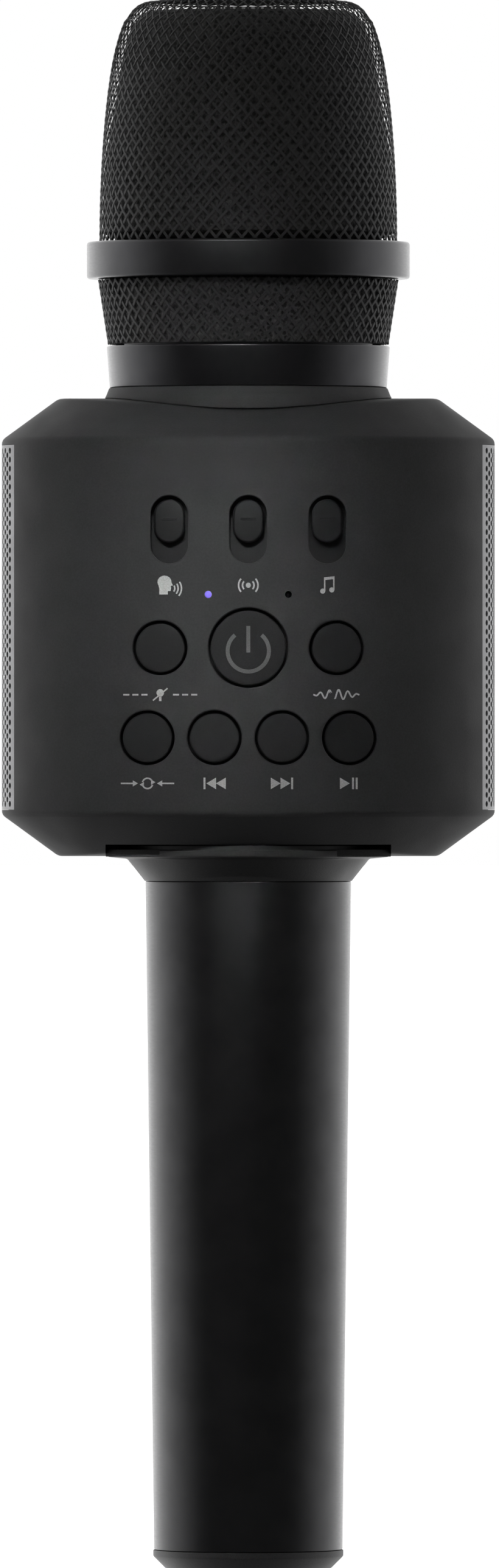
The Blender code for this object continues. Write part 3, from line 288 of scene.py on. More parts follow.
def grained(name, values, size, detail, stretch, dark, light, low, high, depth=0.0):
    """Surface whose colour, gloss and height all follow one noise."""
    material = new_material(name, values)
    grain = noise(material, size, detail, stretch)
    set_colour(material, grain, dark, light)
    set_gloss(material, grain, low, high)
    if depth > 0.0:
        add_bump(material, grain, depth)
    return material


def rubber(name, shade):
    """Soft matt rubber with a dusty bloom."""
    material = new_material(name, {"Specular IOR Level": 0.3})
    bloom = noise(material, 2.0 * MM, detail=5.0)
    set_colour(material, bloom, shade, scaled(shade, 1.8))
    set_gloss(material, bloom, 0.7, 0.85)
    add_bump(material, noise(material, 0.2 * MM), 0.01 * MM)
    return material


def circuit_board(name):
    """Green solder resist over a web of copper tracks."""
    material = new_material(name, {})
    tracks = cells(material, 3.0 * MM, "MANHATTAN")
    set_colour(material, tracks, (0.02, 0.16, 0.06), (0.01, 0.07, 0.03), 0.48, 0.52)
    set_gloss(material, noise(material, 4.0 * MM), 0.3, 0.45)
    add_bump(material, tracks, 0.03 * MM)
    return material


def lens(name, shade, glow, strength):
    """Tinted lamp lens, slightly hazy, which glows when it is lit."""
    values = {"Emission Color": (*glow, 1.0), "Emission Strength": strength}
    return grained(name, values, 0.2 * MM, 2.0, EVEN, scaled(shade, 0.8), shade, 0.12, 0.25)


def print_ink(name, shade):
    """Grey print, a little thin in places."""
    return grained(name, {"Specular IOR Level": 0.3}, 0.15 * MM, 4.0, EVEN, [0.8 * shade] * 3,
                   [1.2 * shade] * 3, 0.5, 0.7)


def slot_materials():
    """One material for each of the record's material slots."""
    lathe = (0.15, 0.15, 1.0)
    tooled = (0.25 * MM, 1.0, lathe)
    table = (
        ("wire_mesh", plastic, (0.019, 0.019, 0.0195), 0.6, 0.12 * MM, 0.004 * MM, 0.2),
        ("satin_dark_metal", metal, (0.042, 0.042, 0.044), 0.34, *tooled),
        ("polished_dark_metal", metal, (0.035, 0.035, 0.037), 0.31, *tooled, 0.001 * MM),
        ("handle_metal", metal, (0.038, 0.038, 0.039), 0.34, *tooled),
        ("body_plastic", plastic, (0.009, 0.009, 0.0095), 0.7, 0.3 * MM, 0.02 * MM, 0.35),
        ("adaptor_plastic", plastic, (0.012, 0.012, 0.0125), 0.55, 0.3 * MM, 0.02 * MM, 0.4),
        ("cap_plastic", plastic, (0.02, 0.02, 0.021), 0.55, 0.3 * MM, 0.02 * MM, 0.4),
        ("knob_plastic", plastic, (0.004, 0.004, 0.0043), 0.6, 0.2 * MM, 0.008 * MM, 0.2),
        ("button_plastic", plastic, (0.0045, 0.0045, 0.0048), 0.62, 0.2 * MM, 0.01 * MM, 0.2),
        ("inner_plastic", plastic, (0.015, 0.015, 0.016), 0.5),
        ("silver_grille", metal, (0.19, 0.19, 0.195), 0.5, 0.15 * MM, 0.5),
        ("plated_steel", metal, (0.55, 0.55, 0.56), 0.24, 0.3 * MM),
        ("pressed_steel", plastic, (0.02, 0.02, 0.021), 0.4, 0.5 * MM),
        ("magnet_steel", metal, (0.36, 0.36, 0.37), 0.35, 0.6 * MM),
        ("capsule_metal", metal, (0.42, 0.42, 0.43), 0.3, *tooled),
        ("speaker_paper", grained, {"Specular IOR Level": 0.3}, 0.5 * MM, 6.0, (1.0, 1.0, 0.2),
         (0.03, 0.03, 0.032), (0.075, 0.075, 0.078), 0.75, 0.95, 0.06 * MM),
        ("black_foam", foam),
        ("black_rubber", rubber, (0.014, 0.014, 0.014)),
        ("cable_sheath", rubber, (0.02, 0.02, 0.02)),
        ("circuit_board", circuit_board),
        ("lit_lens", lens, (0.16, 0.12, 0.5), (0.24, 0.17, 1.0), 0.4),
        ("dark_lens", lens, (0.006, 0.006, 0.008), (0.0, 0.0, 0.0), 0.0),
        ("cell_wrap", grained, {"Metallic": 0.3}, 3.0 * MM, 4.0, (1.0, 1.0, 0.15),
         (0.03, 0.11, 0.32), (0.06, 0.2, 0.5), 0.3, 0.45, 0.05 * MM),
    )
    return {name: make(name, *values) for name, make, *values in table}


# ------------------------------------------------------------ mesh helpers

def grid_faces(rows, columns, wrap=True, close=False):
    """Quads between the points of a grid, wrapped along a row and closed over the rows."""
    faces = []
    for row in range(rows if close else rows - 1):
        start, end = row * columns, (row + 1) % rows * columns
        for column in range(columns if wrap else columns - 1):
            after = (column + 1) % columns
            faces.append((start + column, start + after, end + after, end + column))
    return faces


def full_turn(count):
    """Equal angles all the way round."""
    return np.linspace(0.0, 2.0 * math.pi, count, endpoint=False)


def add_object(name, data):
    """New object in the scene."""
    obj = bpy.data.objects.new(name, data)
    bpy.context.scene.collection.objects.link(obj)
    return obj


def new_mesh(name, points, faces):
    """Mesh of these points and faces."""
    mesh = bpy.data.meshes.new(name)
    mesh.from_pydata([tuple(point) for point in points], [], faces)
    return mesh


def emptied(mesh):
    """Points and faces of a mesh, which is then removed."""
    points = np.array([vert.co for vert in mesh.vertices])
    faces = [tuple(face.vertices) for face in mesh.polygons]
    bpy.data.meshes.remove(mesh)
    return points, faces


def as_seen(obj):
    """New mesh of an object with its modifiers or its curve's shape applied."""
    depsgraph = bpy.context.evaluated_depsgraph_get()
    return bpy.data.meshes.new_from_object(obj.evaluated_get(depsgraph))


def joined(shapes):
    """Points and faces of several shapes as one."""
    points, faces = [], []
    for shape_points, shape_faces in shapes:
        base = len(points)
        points.extend(shape_points)
        faces.extend(tuple(base + i for i in face) for face in shape_faces)
    return points, faces


def raw_object(name, points, faces):
    """Linked object of a closed mesh, with its normals facing out."""
    mesh = new_mesh(name, points, faces)
    bm = bmesh.new()
    bm.from_mesh(mesh)
    bmesh.ops.remove_doubles(bm, verts=bm.verts, dist=0.0005 * MM)
    bmesh.ops.recalc_face_normals(bm, faces=bm.faces)
    bm.to_mesh(mesh)
    bm.free()
    return add_object(name, mesh)


def settle(obj, node, hide=True, material=None, angle=SMOOTH_ANGLE):
    """Give a piece the material, body and slot of the CAD node that it stands for or sits on."""
    slot = SLOT_OF[node]
    obj.data.materials.clear()
    obj.data.materials.append(material or MATERIALS[slot])
    obj.data.shade_smooth()
    obj.data.set_sharp_from_angle(angle=angle)
    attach(obj, BODY_OF[node])
    if hide:
        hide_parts(node)
    return obj


def piece(name, points, faces, node, **choices):
    """New piece from a closed mesh."""
    return settle(raw_object(name, points, faces), node, **choices)


def rounded(corners, steps=4):
    """Polyline through (radius, height, rounding) corners, each rounded with an arc-like curve."""
    points = []
    count = len(corners)
    for i, (radius, height, rounding) in enumerate(corners):
        corner = Vector((radius, height))
        if rounding == 0.0:
            points.append(tuple(corner))
            continue
        before = Vector(corners[i - 1][:2]) - corner
        after = Vector(corners[(i + 1) % count][:2]) - corner
        start = corner + before.normalized() * rounding
        end = corner + after.normalized() * rounding
        for step in range(steps + 1):
            t = step / steps
            points.append(tuple(start * (1 - t) ** 2 + corner * 2 * t * (1 - t) + end * t ** 2))
    return points


def turned(outline, segments=144):
    """Points and faces of a closed outline of (radius, height) turned about the Z axis."""
    angles = full_turn(segments)
    points = [(radius * math.cos(a), radius * math.sin(a), z) for radius, z in outline for a in angles]
    return points, grid_faces(len(outline), segments, close=True)


def turned_on_y(outline, x, z, segments):
    """Points of an outline of (radius, y) turned about a line along Y."""
    angles = full_turn(segments)
    return [(x + r * math.cos(a), y, z + r * math.sin(a)) for r, y in outline for a in angles]


def turned_piece(name, corners, node, segments=180, **choices):
    """Piece turned about the microphone's own axis, from rounded corners."""
    return piece(name, *turned(rounded(corners), segments), node, **choices)


def wire_piece(name, paths, normals, half_width, node, **choices):
    """Piece of many flattened wires along paths, each with surface normals to frame it.

    The facets of the wires face out already, so the mesh is used as it is.
    """
    turn = full_turn(WIRE_SIDES)
    wires = []
    for path, normal in zip(paths, normals):
        widths = np.broadcast_to(half_width, len(path))[:, None]
        tangent = np.gradient(path, axis=0)
        tangent /= np.linalg.norm(tangent, axis=1, keepdims=True)
        side = np.cross(tangent, normal)
        side /= np.linalg.norm(side, axis=1, keepdims=True)
        up = np.cross(side, tangent)
        rings = [path + WIRE_HALF_DEPTH * math.cos(a) * up + widths * math.sin(a) * side for a in turn]
        last = (len(path) - 1) * WIRE_SIDES
        ends = [tuple(reversed(range(WIRE_SIDES))), tuple(range(last, last + WIRE_SIDES))]
        wires.append((np.stack(rings, axis=1).reshape(-1, 3), grid_faces(len(path), WIRE_SIDES) + ends))
    obj = add_object(name, new_mesh(name, *joined(wires)))
    return settle(obj, node, angle=math.radians(80.0), **choices)


def pill(x, z, half_width, half_height, segments=48):
    """Outline with round ends: a circle when both halves are equal."""
    radius = min(half_width, half_height)
    points = []
    for i in range(segments):
        angle = 2.0 * math.pi * (i + 0.5) / segments
        shift_x = math.copysign(half_width - radius, math.cos(angle))
        shift_z = math.copysign(half_height - radius, math.sin(angle))
        points.append((x + shift_x + radius * math.cos(angle), z + shift_z + radius * math.sin(angle)))
    return points


def disc(x, z, radius, segments=24):
    """Round outline."""
    return pill(x, z, radius, radius, segments)


def loft(rings, closed=False):
    """Points and faces of a skin over equal rings, with flat ends unless it is closed."""
    count = len(rings[0])
    points = [point for ring in rings for point in ring]
    faces = grid_faces(len(rings), count, close=closed)
    if not closed:
        faces.append(tuple(range(count)))
        faces.append(tuple(range((len(rings) - 1) * count, len(rings) * count)))
    return points, faces


def prism(plan, low, high):
    """Points and faces of a plan of (x, y) points between two heights."""
    return loft([[(x, y, z) for x, y in plan] for z in (low, high)])


def block(low, high):
    """Points and faces of an axis-aligned block."""
    (x0, y0, z0), (x1, y1, z1) = low, high
    return prism([(x0, y0), (x1, y0), (x1, y1), (x0, y1)], z0, z1)


def carve(obj, shapes, operation="DIFFERENCE"):
    """Apply one exact Boolean with several shapes that don't touch each other."""
    tool = raw_object(obj.name + "_tool", *joined(shapes))
    modifier = obj.modifiers.new("carve", "BOOLEAN")
    modifier.operation = operation
    modifier.solver = "EXACT"
    modifier.object = tool
    result = as_seen(obj)
    obj.modifiers.clear()
    obj.data = result
    bpy.data.objects.remove(tool, do_unlink=True)


# -------------------------------------------------------- the body's oval

def skin_y(x, inset=0.0, side=-1):
    """Depth of the front (-1) or back (+1) panel at x, moved in by the inset."""
    return side * (HALF_DEPTH - inset) * math.sqrt(1.0 - (x / (HALF_WIDTH - inset)) ** 2)


def on_panel(outline, inset, side=-1):
    """Points of an outline of (x, z) laid on the panel, moved in by the inset."""
    return [(x, skin_y(x, inset, side), z) for x, z in outline]


def oval(angles, inset):
    """Plan points of the body's outline, moved in square to it by the inset."""
    across, along = np.cos(angles), np.sin(angles)
    normal = np.stack([across / HALF_WIDTH, along / HALF_DEPTH], axis=1)
    normal /= np.linalg.norm(normal, axis=1, keepdims=True)
    outline = np.stack([HALF_WIDTH * across, HALF_DEPTH * along], axis=1)
    return outline - np.reshape(inset, (-1, 1)) * normal


def crown_height(y):
    """Height of the body's crowned end over its middle, at a depth y."""
    return BODY_HALF_HEIGHT - CROWN_DROP * (np.abs(y) / CROWN_REACH) ** CROWN_POWER


def end_rows(angles):
    """Rows of (x, y, height) from the middle of the side wall to the middle of one end."""
    rim = np.full(len(angles), CHAMFER_INSET)
    for _ in range(16):
        rim = (crown_height(oval(angles, rim)[:, 1]) - SIDE_HALF_HEIGHT) / CHAMFER_SLOPE
    ease = CORNER_BLEND * math.cos(math.atan(CHAMFER_SLOPE))
    flat = np.zeros(len(angles))

    def row(inset, height):
        plan = oval(angles, inset)
        return np.column_stack([plan, np.broadcast_to(height, len(angles))])

    rows = [row(flat, SIDE_HALF_HEIGHT * i / 6.0 - CORNER_BLEND * i / 6.0) for i in range(1, 7)]
    for t in (0.25, 0.5, 0.75, 1.0):
        inset = flat + ease * t * t
        height = (SIDE_HALF_HEIGHT - CORNER_BLEND * (1 - t) ** 2 + ease * CHAMFER_SLOPE * t * t)
        rows.append(row(inset, height))
    start = rim - ease
    for share in (0.33, 0.66):
        inset = ease + (start - ease) * share
        rows.append(row(inset, SIDE_HALF_HEIGHT + inset * CHAMFER_SLOPE))
    top = crown_height(oval(angles, rim + ease)[:, 1])
    for t in (0.0, 0.25, 0.5, 0.75, 1.0):
        inset = rim + ease * (2.0 * t - 1.0)
        corner = SIDE_HALF_HEIGHT + rim * CHAMFER_SLOPE
        height = (corner - ease * CHAMFER_SLOPE) * (1 - t) ** 2 + corner * 2 * t * (1 - t) + top * t * t
        rows.append(row(inset, height))
    shoulder = oval(angles, rim + ease)
    for share in (0.85, 0.7, 0.5, 0.3, 0.12, 0.0):
        plan = shoulder * share
        rows.append(np.column_stack([plan, crown_height(plan[:, 1])]))
    return rows


def body_solid():
    """Points and faces of the whole outer skin as a closed solid."""
    angles = full_turn(SKIN_SEGMENTS)
    rows = end_rows(angles)
    upper = [row + (0.0, 0.0, BODY_MIDDLE) for row in rows]
    lower = [row * (1.0, 1.0, -1.0) + (0.0, 0.0, BODY_MIDDLE) for row in reversed(rows)]
    points = np.concatenate(lower + upper)
    return points, grid_faces(len(rows) * 2, SKIN_SEGMENTS)


def cavity_solid():
    """The hollow inside the body, chamfered like its outside."""
    angles = full_turn(120)
    side = SIDE_HALF_HEIGHT - CAVITY_MARGIN
    end_inset = BODY_WALL + (CAVITY_HALF_HEIGHT - side) / CHAMFER_SLOPE
    rings = []
    for inset, height in ((end_inset, -CAVITY_HALF_HEIGHT), (BODY_WALL, -side), (BODY_WALL, side),
                          (end_inset, CAVITY_HALF_HEIGHT)):
        plan = oval(angles, np.full(len(angles), inset))
        rings.append([(x, y, BODY_MIDDLE + height) for x, y in plan])
    return loft(rings)


def side_band(side, half_depth, insets, low, high):
    """Bent plate that follows one side of the oval."""
    reach = math.asin(half_depth / HALF_DEPTH)
    angles = np.linspace(-reach, reach, 17)
    outer = oval(angles, np.full(17, insets[0]))
    inner = oval(angles, np.full(17, insets[1]))[::-1]
    return prism([(side * x, y) for x, y in (*outer, *inner)], low, high)


def quarter_round(radius, degrees):
    """Steps (across, inward) round an edge, at angles in degrees."""
    angles = np.radians(degrees).tolist()
    return [(radius * (1.0 - math.cos(a)), radius * (1.0 - math.sin(a))) for a in angles]


def panel_hole(x, z, half_width, half_height, floor, side=-1, segments=48, rounding=HOLE_ROUNDING):
    """Hole through the panel whose mouth is rounded over and follows the panel's curve."""
    rings = [[(a, side * floor, b) for a, b in pill(x, z, half_width, half_height, segments)]]
    for grow, inset in quarter_round(rounding, (0.0, 30.0, 60.0, 90.0)):
        rings.append(on_panel(pill(x, z, half_width + grow, half_height + grow, segments), inset, side))
    outline = pill(x, z, half_width + rounding, half_height + rounding, segments)
    rings.append(on_panel(outline, -CUTTER_OVERSHOOT, side))
    return loft(rings)


def centre(node):
    """Middle of a CAD node's box."""
    low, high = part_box(node)
    return 0.5 * (low + high)


def smooth_side_wall(obj):
    """Give the side wall's faces the oval's own normals, so that no opening shades the faces round it."""
    mesh = obj.data
    count = len(mesh.loops)
    normals = np.empty(count * 3)
    mesh.corner_normals.foreach_get("vector", normals)
    normals = normals.reshape(-1, 3)
    corners = np.empty(count, dtype=int)
    mesh.loops.foreach_get("vertex_index", corners)
    points = np.empty(len(mesh.vertices) * 3)
    mesh.vertices.foreach_get("co", points)
    points = points.reshape(-1, 3)[corners]
    level = np.hypot(points[:, 0] / HALF_WIDTH, points[:, 1] / HALF_DEPTH)
    height = np.abs(points[:, 2] - BODY_MIDDLE)
    on_wall = (np.abs(level - 1.0) < 0.002) & (height < SIDE_HALF_HEIGHT - CORNER_BLEND + 0.02 * MM)
    square = points * (1.0 / HALF_WIDTH ** 2, 1.0 / HALF_DEPTH ** 2, 0.0)
    square /= np.linalg.norm(square, axis=1, keepdims=True)
    for face in mesh.polygons:
        loops = slice(face.loop_start, face.loop_start + face.loop_total)
        if on_wall[loops].all() and np.dot(face.normal, square[face.loop_start]) > 0.99:
            normals[loops] = square[loops]
    mesh.normals_split_custom_set([tuple(normal) for normal in normals])


def button_place(name):
    """(x, z, hole radius) of a button, from its skirt."""
    low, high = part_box(name + "_button")
    middle = 0.5 * (low + high)
    skirt = 0.5 * (high.z - low.z) / math.cos(math.pi / 20.0)
    return middle.x, middle.z, skirt - BUTTON_SKIRT


def screw_nodes():
    """CAD nodes of the screws that clamp the two housings."""
    return [name for name in SLOT_OF if name.startswith("housing_screw")]


def front_openings():
    """Holes for the buttons, slots for the sliders and pinholes for the lamps."""
    holes = [panel_hole(x, z, r, r, HOLE_FLOOR) for x, z, r in map(button_place, BUTTONS)]
    for name in SLIDERS:
        holes.append(panel_hole(centre(name + "_fader").x, SLOT_Z, SLOT_HALF_WIDTH, SLOT_HALF_HEIGHT,
                                HOLE_FLOOR, rounding=SLOT_ROUNDING))
    for lamp in map(centre, ("status_light", "charge_light")):
        holes.append(panel_hole(lamp.x, lamp.z, LAMP_HOLE, LAMP_HOLE, HOLE_FLOOR, segments=24,
                                rounding=LAMP_ROUNDING))
    return holes


def rear_openings():
    """Wells for the screws, and holes for the line-in jack and the charging socket."""
    places = map(centre, screw_nodes())
    holes = [panel_hole(s.x, s.z, WELL_RADIUS, WELL_RADIUS, WELL_FLOOR, 1) for s in places]
    jack, socket = centre("line_in_jack"), centre("charging_socket")
    holes.append(panel_hole(jack.x, jack.z, JACK_HOLE, JACK_HOLE, JACK_FLOOR, 1))
    holes.append(panel_hole(socket.x, socket.z, *SOCKET_HOLE, HOLE_FLOOR, 1))
    return holes


def screw_bosses():
    """Posts round the screw wells, from the seam to the inside of the rear wall."""
    outlines = [disc(s.x, s.z, BOSS_RADIUS, 48) for s in map(centre, screw_nodes())]
    return [loft([[(a, 2.0 * SEAM, b) for a, b in outline],
                  on_panel(outline, BODY_WALL - 0.1 * MM, 1)]) for outline in outlines]


def build_housings():
    """Front and rear halves of the oval body, with all their openings."""
    channel = block((-CHANNEL_HALF_WIDTH, -GUIDE_REACH, BODY_LOW - GUIDE_REACH),
                    (CHANNEL_HALF_WIDTH, GUIDE_REACH, CHANNEL_CEILING))
    neck = prism(disc(0, 0, NECK_HOLE, 96), BODY_MIDDLE, BODY_HIGH + GUIDE_REACH)
    adaptor = prism(disc(0, 0, ADAPTOR_HOLE, 96), BODY_LOW - GUIDE_REACH, BODY_MIDDLE - SIDE_HALF_HEIGHT)
    recesses = [side_band(side, GRILLE_HALF_DEPTH + GAP, (-CUTTER_OVERSHOOT, GRILLE_THICKNESS + GAP),
                          GRILLE_LOW - GAP, GRILLE_HIGH + GAP) for side in (-1, 1)]
    windows = [side_band(side, WINDOW_HALF_DEPTH, WINDOW_INSETS, GRILLE_LOW + WINDOW_MARGIN,
                         GRILLE_HIGH - WINDOW_MARGIN) for side in (-1, 1)]
    for name, node, y_low, y_high in (("front_shell", "front_housing", -GUIDE_REACH, -SEAM),
                                      ("rear_shell", "rear_housing", SEAM, GUIDE_REACH)):
        shell = raw_object(name, *body_solid())
        half = block((-GUIDE_REACH, y_low, BODY_LOW - GUIDE_REACH),
                     (GUIDE_REACH, y_high, BODY_HIGH + GUIDE_REACH))
        carve(shell, [cavity_solid()])
        carve(shell, [half], "INTERSECT")
        carve(shell, [channel, neck, *recesses])
        carve(shell, [adaptor, *windows])
        if node == "rear_housing":
            carve(shell, screw_bosses(), "UNION")
        carve(shell, front_openings() if node == "front_housing" else rear_openings())
        settle(shell, node)
        smooth_side_wall(shell)


# ----------------------------------------------------------------- grille

def dome_line(inset, step):
    """Grille outline of (radius, z) points at equal steps, up to the seam at the corner, with each point's
    distance along it.
    """
    height = np.linspace(0.0, 1.04 * DOME_SIDE, 200)
    share = height / DOME_SIDE
    radius = DOME_RADIUS - DOME_SQUARE_TERM * share ** 2 - DOME_STEEP_TERM * share ** 8 - inset
    bow = np.linspace(math.radians(24.0), DOME_SEAM_ANGLE, 32)
    bend = DOME_CORNER - inset
    centre_z = DOME_TOP - DOME_CORNER
    outline = np.column_stack([np.append(radius, DOME_CORNER_CENTRE + bend * np.cos(bow)),
                               np.append(DOME_LOW + height, centre_z + bend * np.sin(bow))])
    outline = np.vstack([[outline[0, 0], DOME_LOW - 1.2 * MM], outline])
    outline = outline[np.argsort(outline[:, 1])]
    length = np.append(0.0, np.cumsum(np.linalg.norm(np.diff(outline, axis=0), axis=1)))
    stations = np.linspace(0.0, length[-1], round(length[-1] / step) + 1)
    line = np.column_stack([np.interp(stations, length, outline[:, i]) for i in (0, 1)])
    return stations, line


def woven_wall(name, stations, line, node, **choices):
    """Diagonal wires both ways round a wall of revolution, woven over and under."""
    slope = np.gradient(line, axis=0)
    slope /= np.linalg.norm(slope, axis=1, keepdims=True)
    normal = np.column_stack([slope[:, 1], -slope[:, 0]])
    swing = 2.0 * math.pi / WIRES_ROUND * stations / CELL_HEIGHT
    over = WEAVE_SWING * np.cos(2.0 * math.pi * stations / CELL_HEIGHT)
    paths, normals = [], []
    for direction in (1.0, -1.0):
        shifted = line + direction * over[:, None] * normal
        for i in range(WIRES_ROUND):
            angle = 2.0 * math.pi * i / WIRES_ROUND + direction * swing
            cos, sin = np.cos(angle), np.sin(angle)
            paths.append(np.column_stack([shifted[:, 0] * cos, shifted[:, 0] * sin, shifted[:, 1]]))
            normals.append(np.column_stack([normal[:, 0] * cos, normal[:, 0] * sin, normal[:, 1]]))
    widths = WIRE_HALF_WIDTH * (line[:, 0] / line[:, 0].max()) ** 2
    return wire_piece(name, paths, normals, widths, node, **choices)


def woven_top(name, node):
    """Square weave over the flat top of the dome, bent down at its rim."""
    bend = DOME_CORNER - WEAVE_DEPTH
    reach = DOME_CORNER_CENTRE + bend * (0.5 * math.pi - DOME_SEAM_ANGLE)
    count = int(reach / TOP_WIRE_PITCH)
    paths, normals = [], []
    for lane in range(-count, count + 1):
        across = lane * TOP_WIRE_PITCH
        half = math.sqrt(reach ** 2 - across ** 2)
        along = np.linspace(-half, half, max(4, int(half / TOP_WIRE_PITCH * 4.0)))
        for turn in (0, 1):
            flat = np.column_stack([along, np.full(len(along), across)])
            distance = np.linalg.norm(flat, axis=1)
            bent = np.maximum(distance - DOME_CORNER_CENTRE, 0.0) / bend
            radius = np.minimum(distance, DOME_CORNER_CENTRE) + bend * np.sin(bent)
            spread = (radius / np.maximum(distance, 0.001 * MM))[:, None]
            height = DOME_TOP - WEAVE_DEPTH - bend * (1.0 - np.cos(bent))
            tilt = np.sin(bent)[:, None] * flat / np.maximum(distance, 0.001 * MM)[:, None]
            normal = np.column_stack([tilt, np.cos(bent)])
            sign = 1.0 if turn == 0 else -1.0
            over = sign * WEAVE_SWING * np.cos(math.pi * (along / TOP_WIRE_PITCH + lane))
            path = np.column_stack([flat * spread, height]) + over[:, None] * normal
            if turn:
                path, normal = path[:, [1, 0, 2]], normal[:, [1, 0, 2]]
            paths.append(path)
            normals.append(normal)
    return wire_piece(name, paths, normals, TOP_WIRE_HALF_WIDTH, node, hide=False)


def build_head():
    """Woven dome, its seam hoop, collar, lower basket and the foam behind them."""
    step = CELL_HEIGHT / 4.0
    stations, line = dome_line(WEAVE_DEPTH, step)
    woven_wall("dome_weave", stations, line, "grille_dome")
    woven_top("dome_top_weave", "grille_dome")
    seam_radius, seam_z = line[-1]
    hoop = [(seam_radius + 0.12 * MM * math.cos(a), seam_z + 0.12 * MM * math.sin(a))
            for a in full_turn(8)]
    piece("dome_seam_hoop", *turned(hoop), "grille_dome", hide=False)

    low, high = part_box("lower_basket")
    fine = np.arange(0.0, 1.0001, 1.0 / round((high.z - low.z) / step))
    line = np.column_stack([
        BASKET_LOW_RADIUS - WEAVE_DEPTH + (BASKET_HIGH_RADIUS - BASKET_LOW_RADIUS) * fine,
        low.z + 0.1 * MM + (high.z - low.z - 0.1 * MM) * fine,
    ])
    woven_wall("basket_weave", (line[:, 1] - line[0, 1]) * 1.02, line, "lower_basket")
    sleeve = 21.6 * MM
    turned_piece("basket_sleeve", [
        (sleeve, low.z, 0.0),
        (BASKET_LOW_RADIUS - 0.45 * MM, low.z, 0.0),
        (BASKET_HIGH_RADIUS - 0.45 * MM, high.z, 0.0),
        (sleeve, high.z, 0.0),
    ], "lower_basket", 144, hide=False, material=MATERIALS["black_foam"])

    low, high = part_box("grille_collar")
    bore = 22.6 * MM
    fillet = 0.55 * MM
    turned_piece("collar_ring", [
        (bore, low.z, 0.3 * MM),
        (high.x, low.z, fillet),
        (high.x, high.z, fillet),
        (bore, high.z, 0.3 * MM),
    ], "grille_collar")

    build_foam()


def clamp(value):
    """Value kept between 0 and 1."""
    return min(1.0, max(0.0, value))


def build_foam():
    """Foam windscreen: a crowned cup that lines the dome, slightly uneven all over."""
    low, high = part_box("foam_windscreen")
    bore, foot, inner_top, ceiling = 16.3 * MM, 21.2 * MM, 12.0 * MM, 248.0 * MM
    thin_from, thin_over = 232.0 * MM, 12.0 * MM
    _, line = dome_line(1.6 * MM, 1.2 * MM)
    wall = [(r + 1.0 * MM * (1.0 - clamp((z - thin_from) / thin_over)), z)
            for r, z in line if z > DOME_LOW + 1.0 * MM]
    top_radius = wall[-1][0]
    crown = [(top_radius * share, high.z - (top_radius * share / top_radius) ** 4 * (high.z - wall[-1][1]))
             for share in (0.9, 0.75, 0.5, 0.25, 0.0)]
    outline = [(bore, low.z), (foot, low.z), (foot, DOME_LOW), *wall, *crown,
               (0.0, ceiling), (inner_top, ceiling), (bore, ceiling - 4.0 * MM)]
    points, faces = turned(outline, 96)
    obj = piece("foam_lining", points, faces, "foam_windscreen", angle=math.radians(60.0))


# ------------------------------------------------------------------- neck

def build_neck():
    """Polished ring with a real screw thread, and the flange fitted to the crowned body."""
    low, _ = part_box("neck_ring")
    foot = low.z - GAP + FINE_GAP
    low_radius, high_radius, ring_top = 23.0 * MM, 23.5 * MM, 202.75 * MM
    bore, cup, spigot, floor = 9.8 * MM, 19.3 * MM, 20.6 * MM, 199.0 * MM
    turned_piece("polished_ring", [
        (bore, foot, 0.2 * MM),
        (low_radius, foot, 0.2 * MM),
        (high_radius, ring_top, 0.35 * MM),
        (spigot, ring_top, 0.0),
        (spigot, 207.2 * MM, 0.2 * MM),
        (cup, 207.3 * MM, 0.2 * MM),
        (cup, floor, 0.5 * MM),
        (bore, floor, 0.2 * MM),
    ], "neck_ring")

    pitch, depth, turns = 1.0 * MM, 0.55 * MM, 3.6
    root, start, outer = 20.5 * MM, 20.55 * MM, 21.3 * MM
    along = np.linspace(0.0, 2.0 * math.pi * turns, 260)
    rings = []
    for angle in along:
        rise = ring_top + 0.6 * MM + pitch * angle / (2.0 * math.pi)
        fade = min(1.0, 4.0 * min(angle, along[-1] - angle) / math.pi + 0.05)
        crest = start + (outer - start) * fade
        section = [(root, -0.5 * depth), (crest, -0.1 * depth), (crest, 0.1 * depth), (root, 0.5 * depth)]
        rings.append([(r * math.cos(angle), r * math.sin(angle), rise + z) for r, z in section])
    piece("neck_thread", *loft(rings), "neck_ring", hide=False)

    _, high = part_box("neck_flange")
    bore, foot, top = 11.0 * MM, 23.8 * MM, 23.2 * MM
    angles = full_turn(180)
    rows = []
    for radius in (bore, 14.0 * MM, 17.0 * MM, 20.0 * MM, 22.0 * MM, foot - 0.15 * MM, foot):
        seat = BODY_MIDDLE + crown_height(radius * np.sin(angles)) + FINE_GAP
        lift = 0.08 * MM if radius == foot else 0.0
        rows.append([(radius * math.cos(a), radius * math.sin(a), z + lift) for a, z in zip(angles, seat)])
    for radius, z in ((foot - 0.05 * MM, high.z - 1.6 * MM), (foot - 0.25 * MM, high.z - 1.2 * MM),
                      (top, high.z - 0.3 * MM), (top - 0.09 * MM, high.z - 0.09 * MM),
                      (top - 0.3 * MM, high.z), (bore, high.z)):
        rows.append([(radius * math.cos(a), radius * math.sin(a), z) for a in angles])
    piece("flange_ring", *loft(rows, closed=True), "neck_flange")


# --------------------------------------------------------------- controls

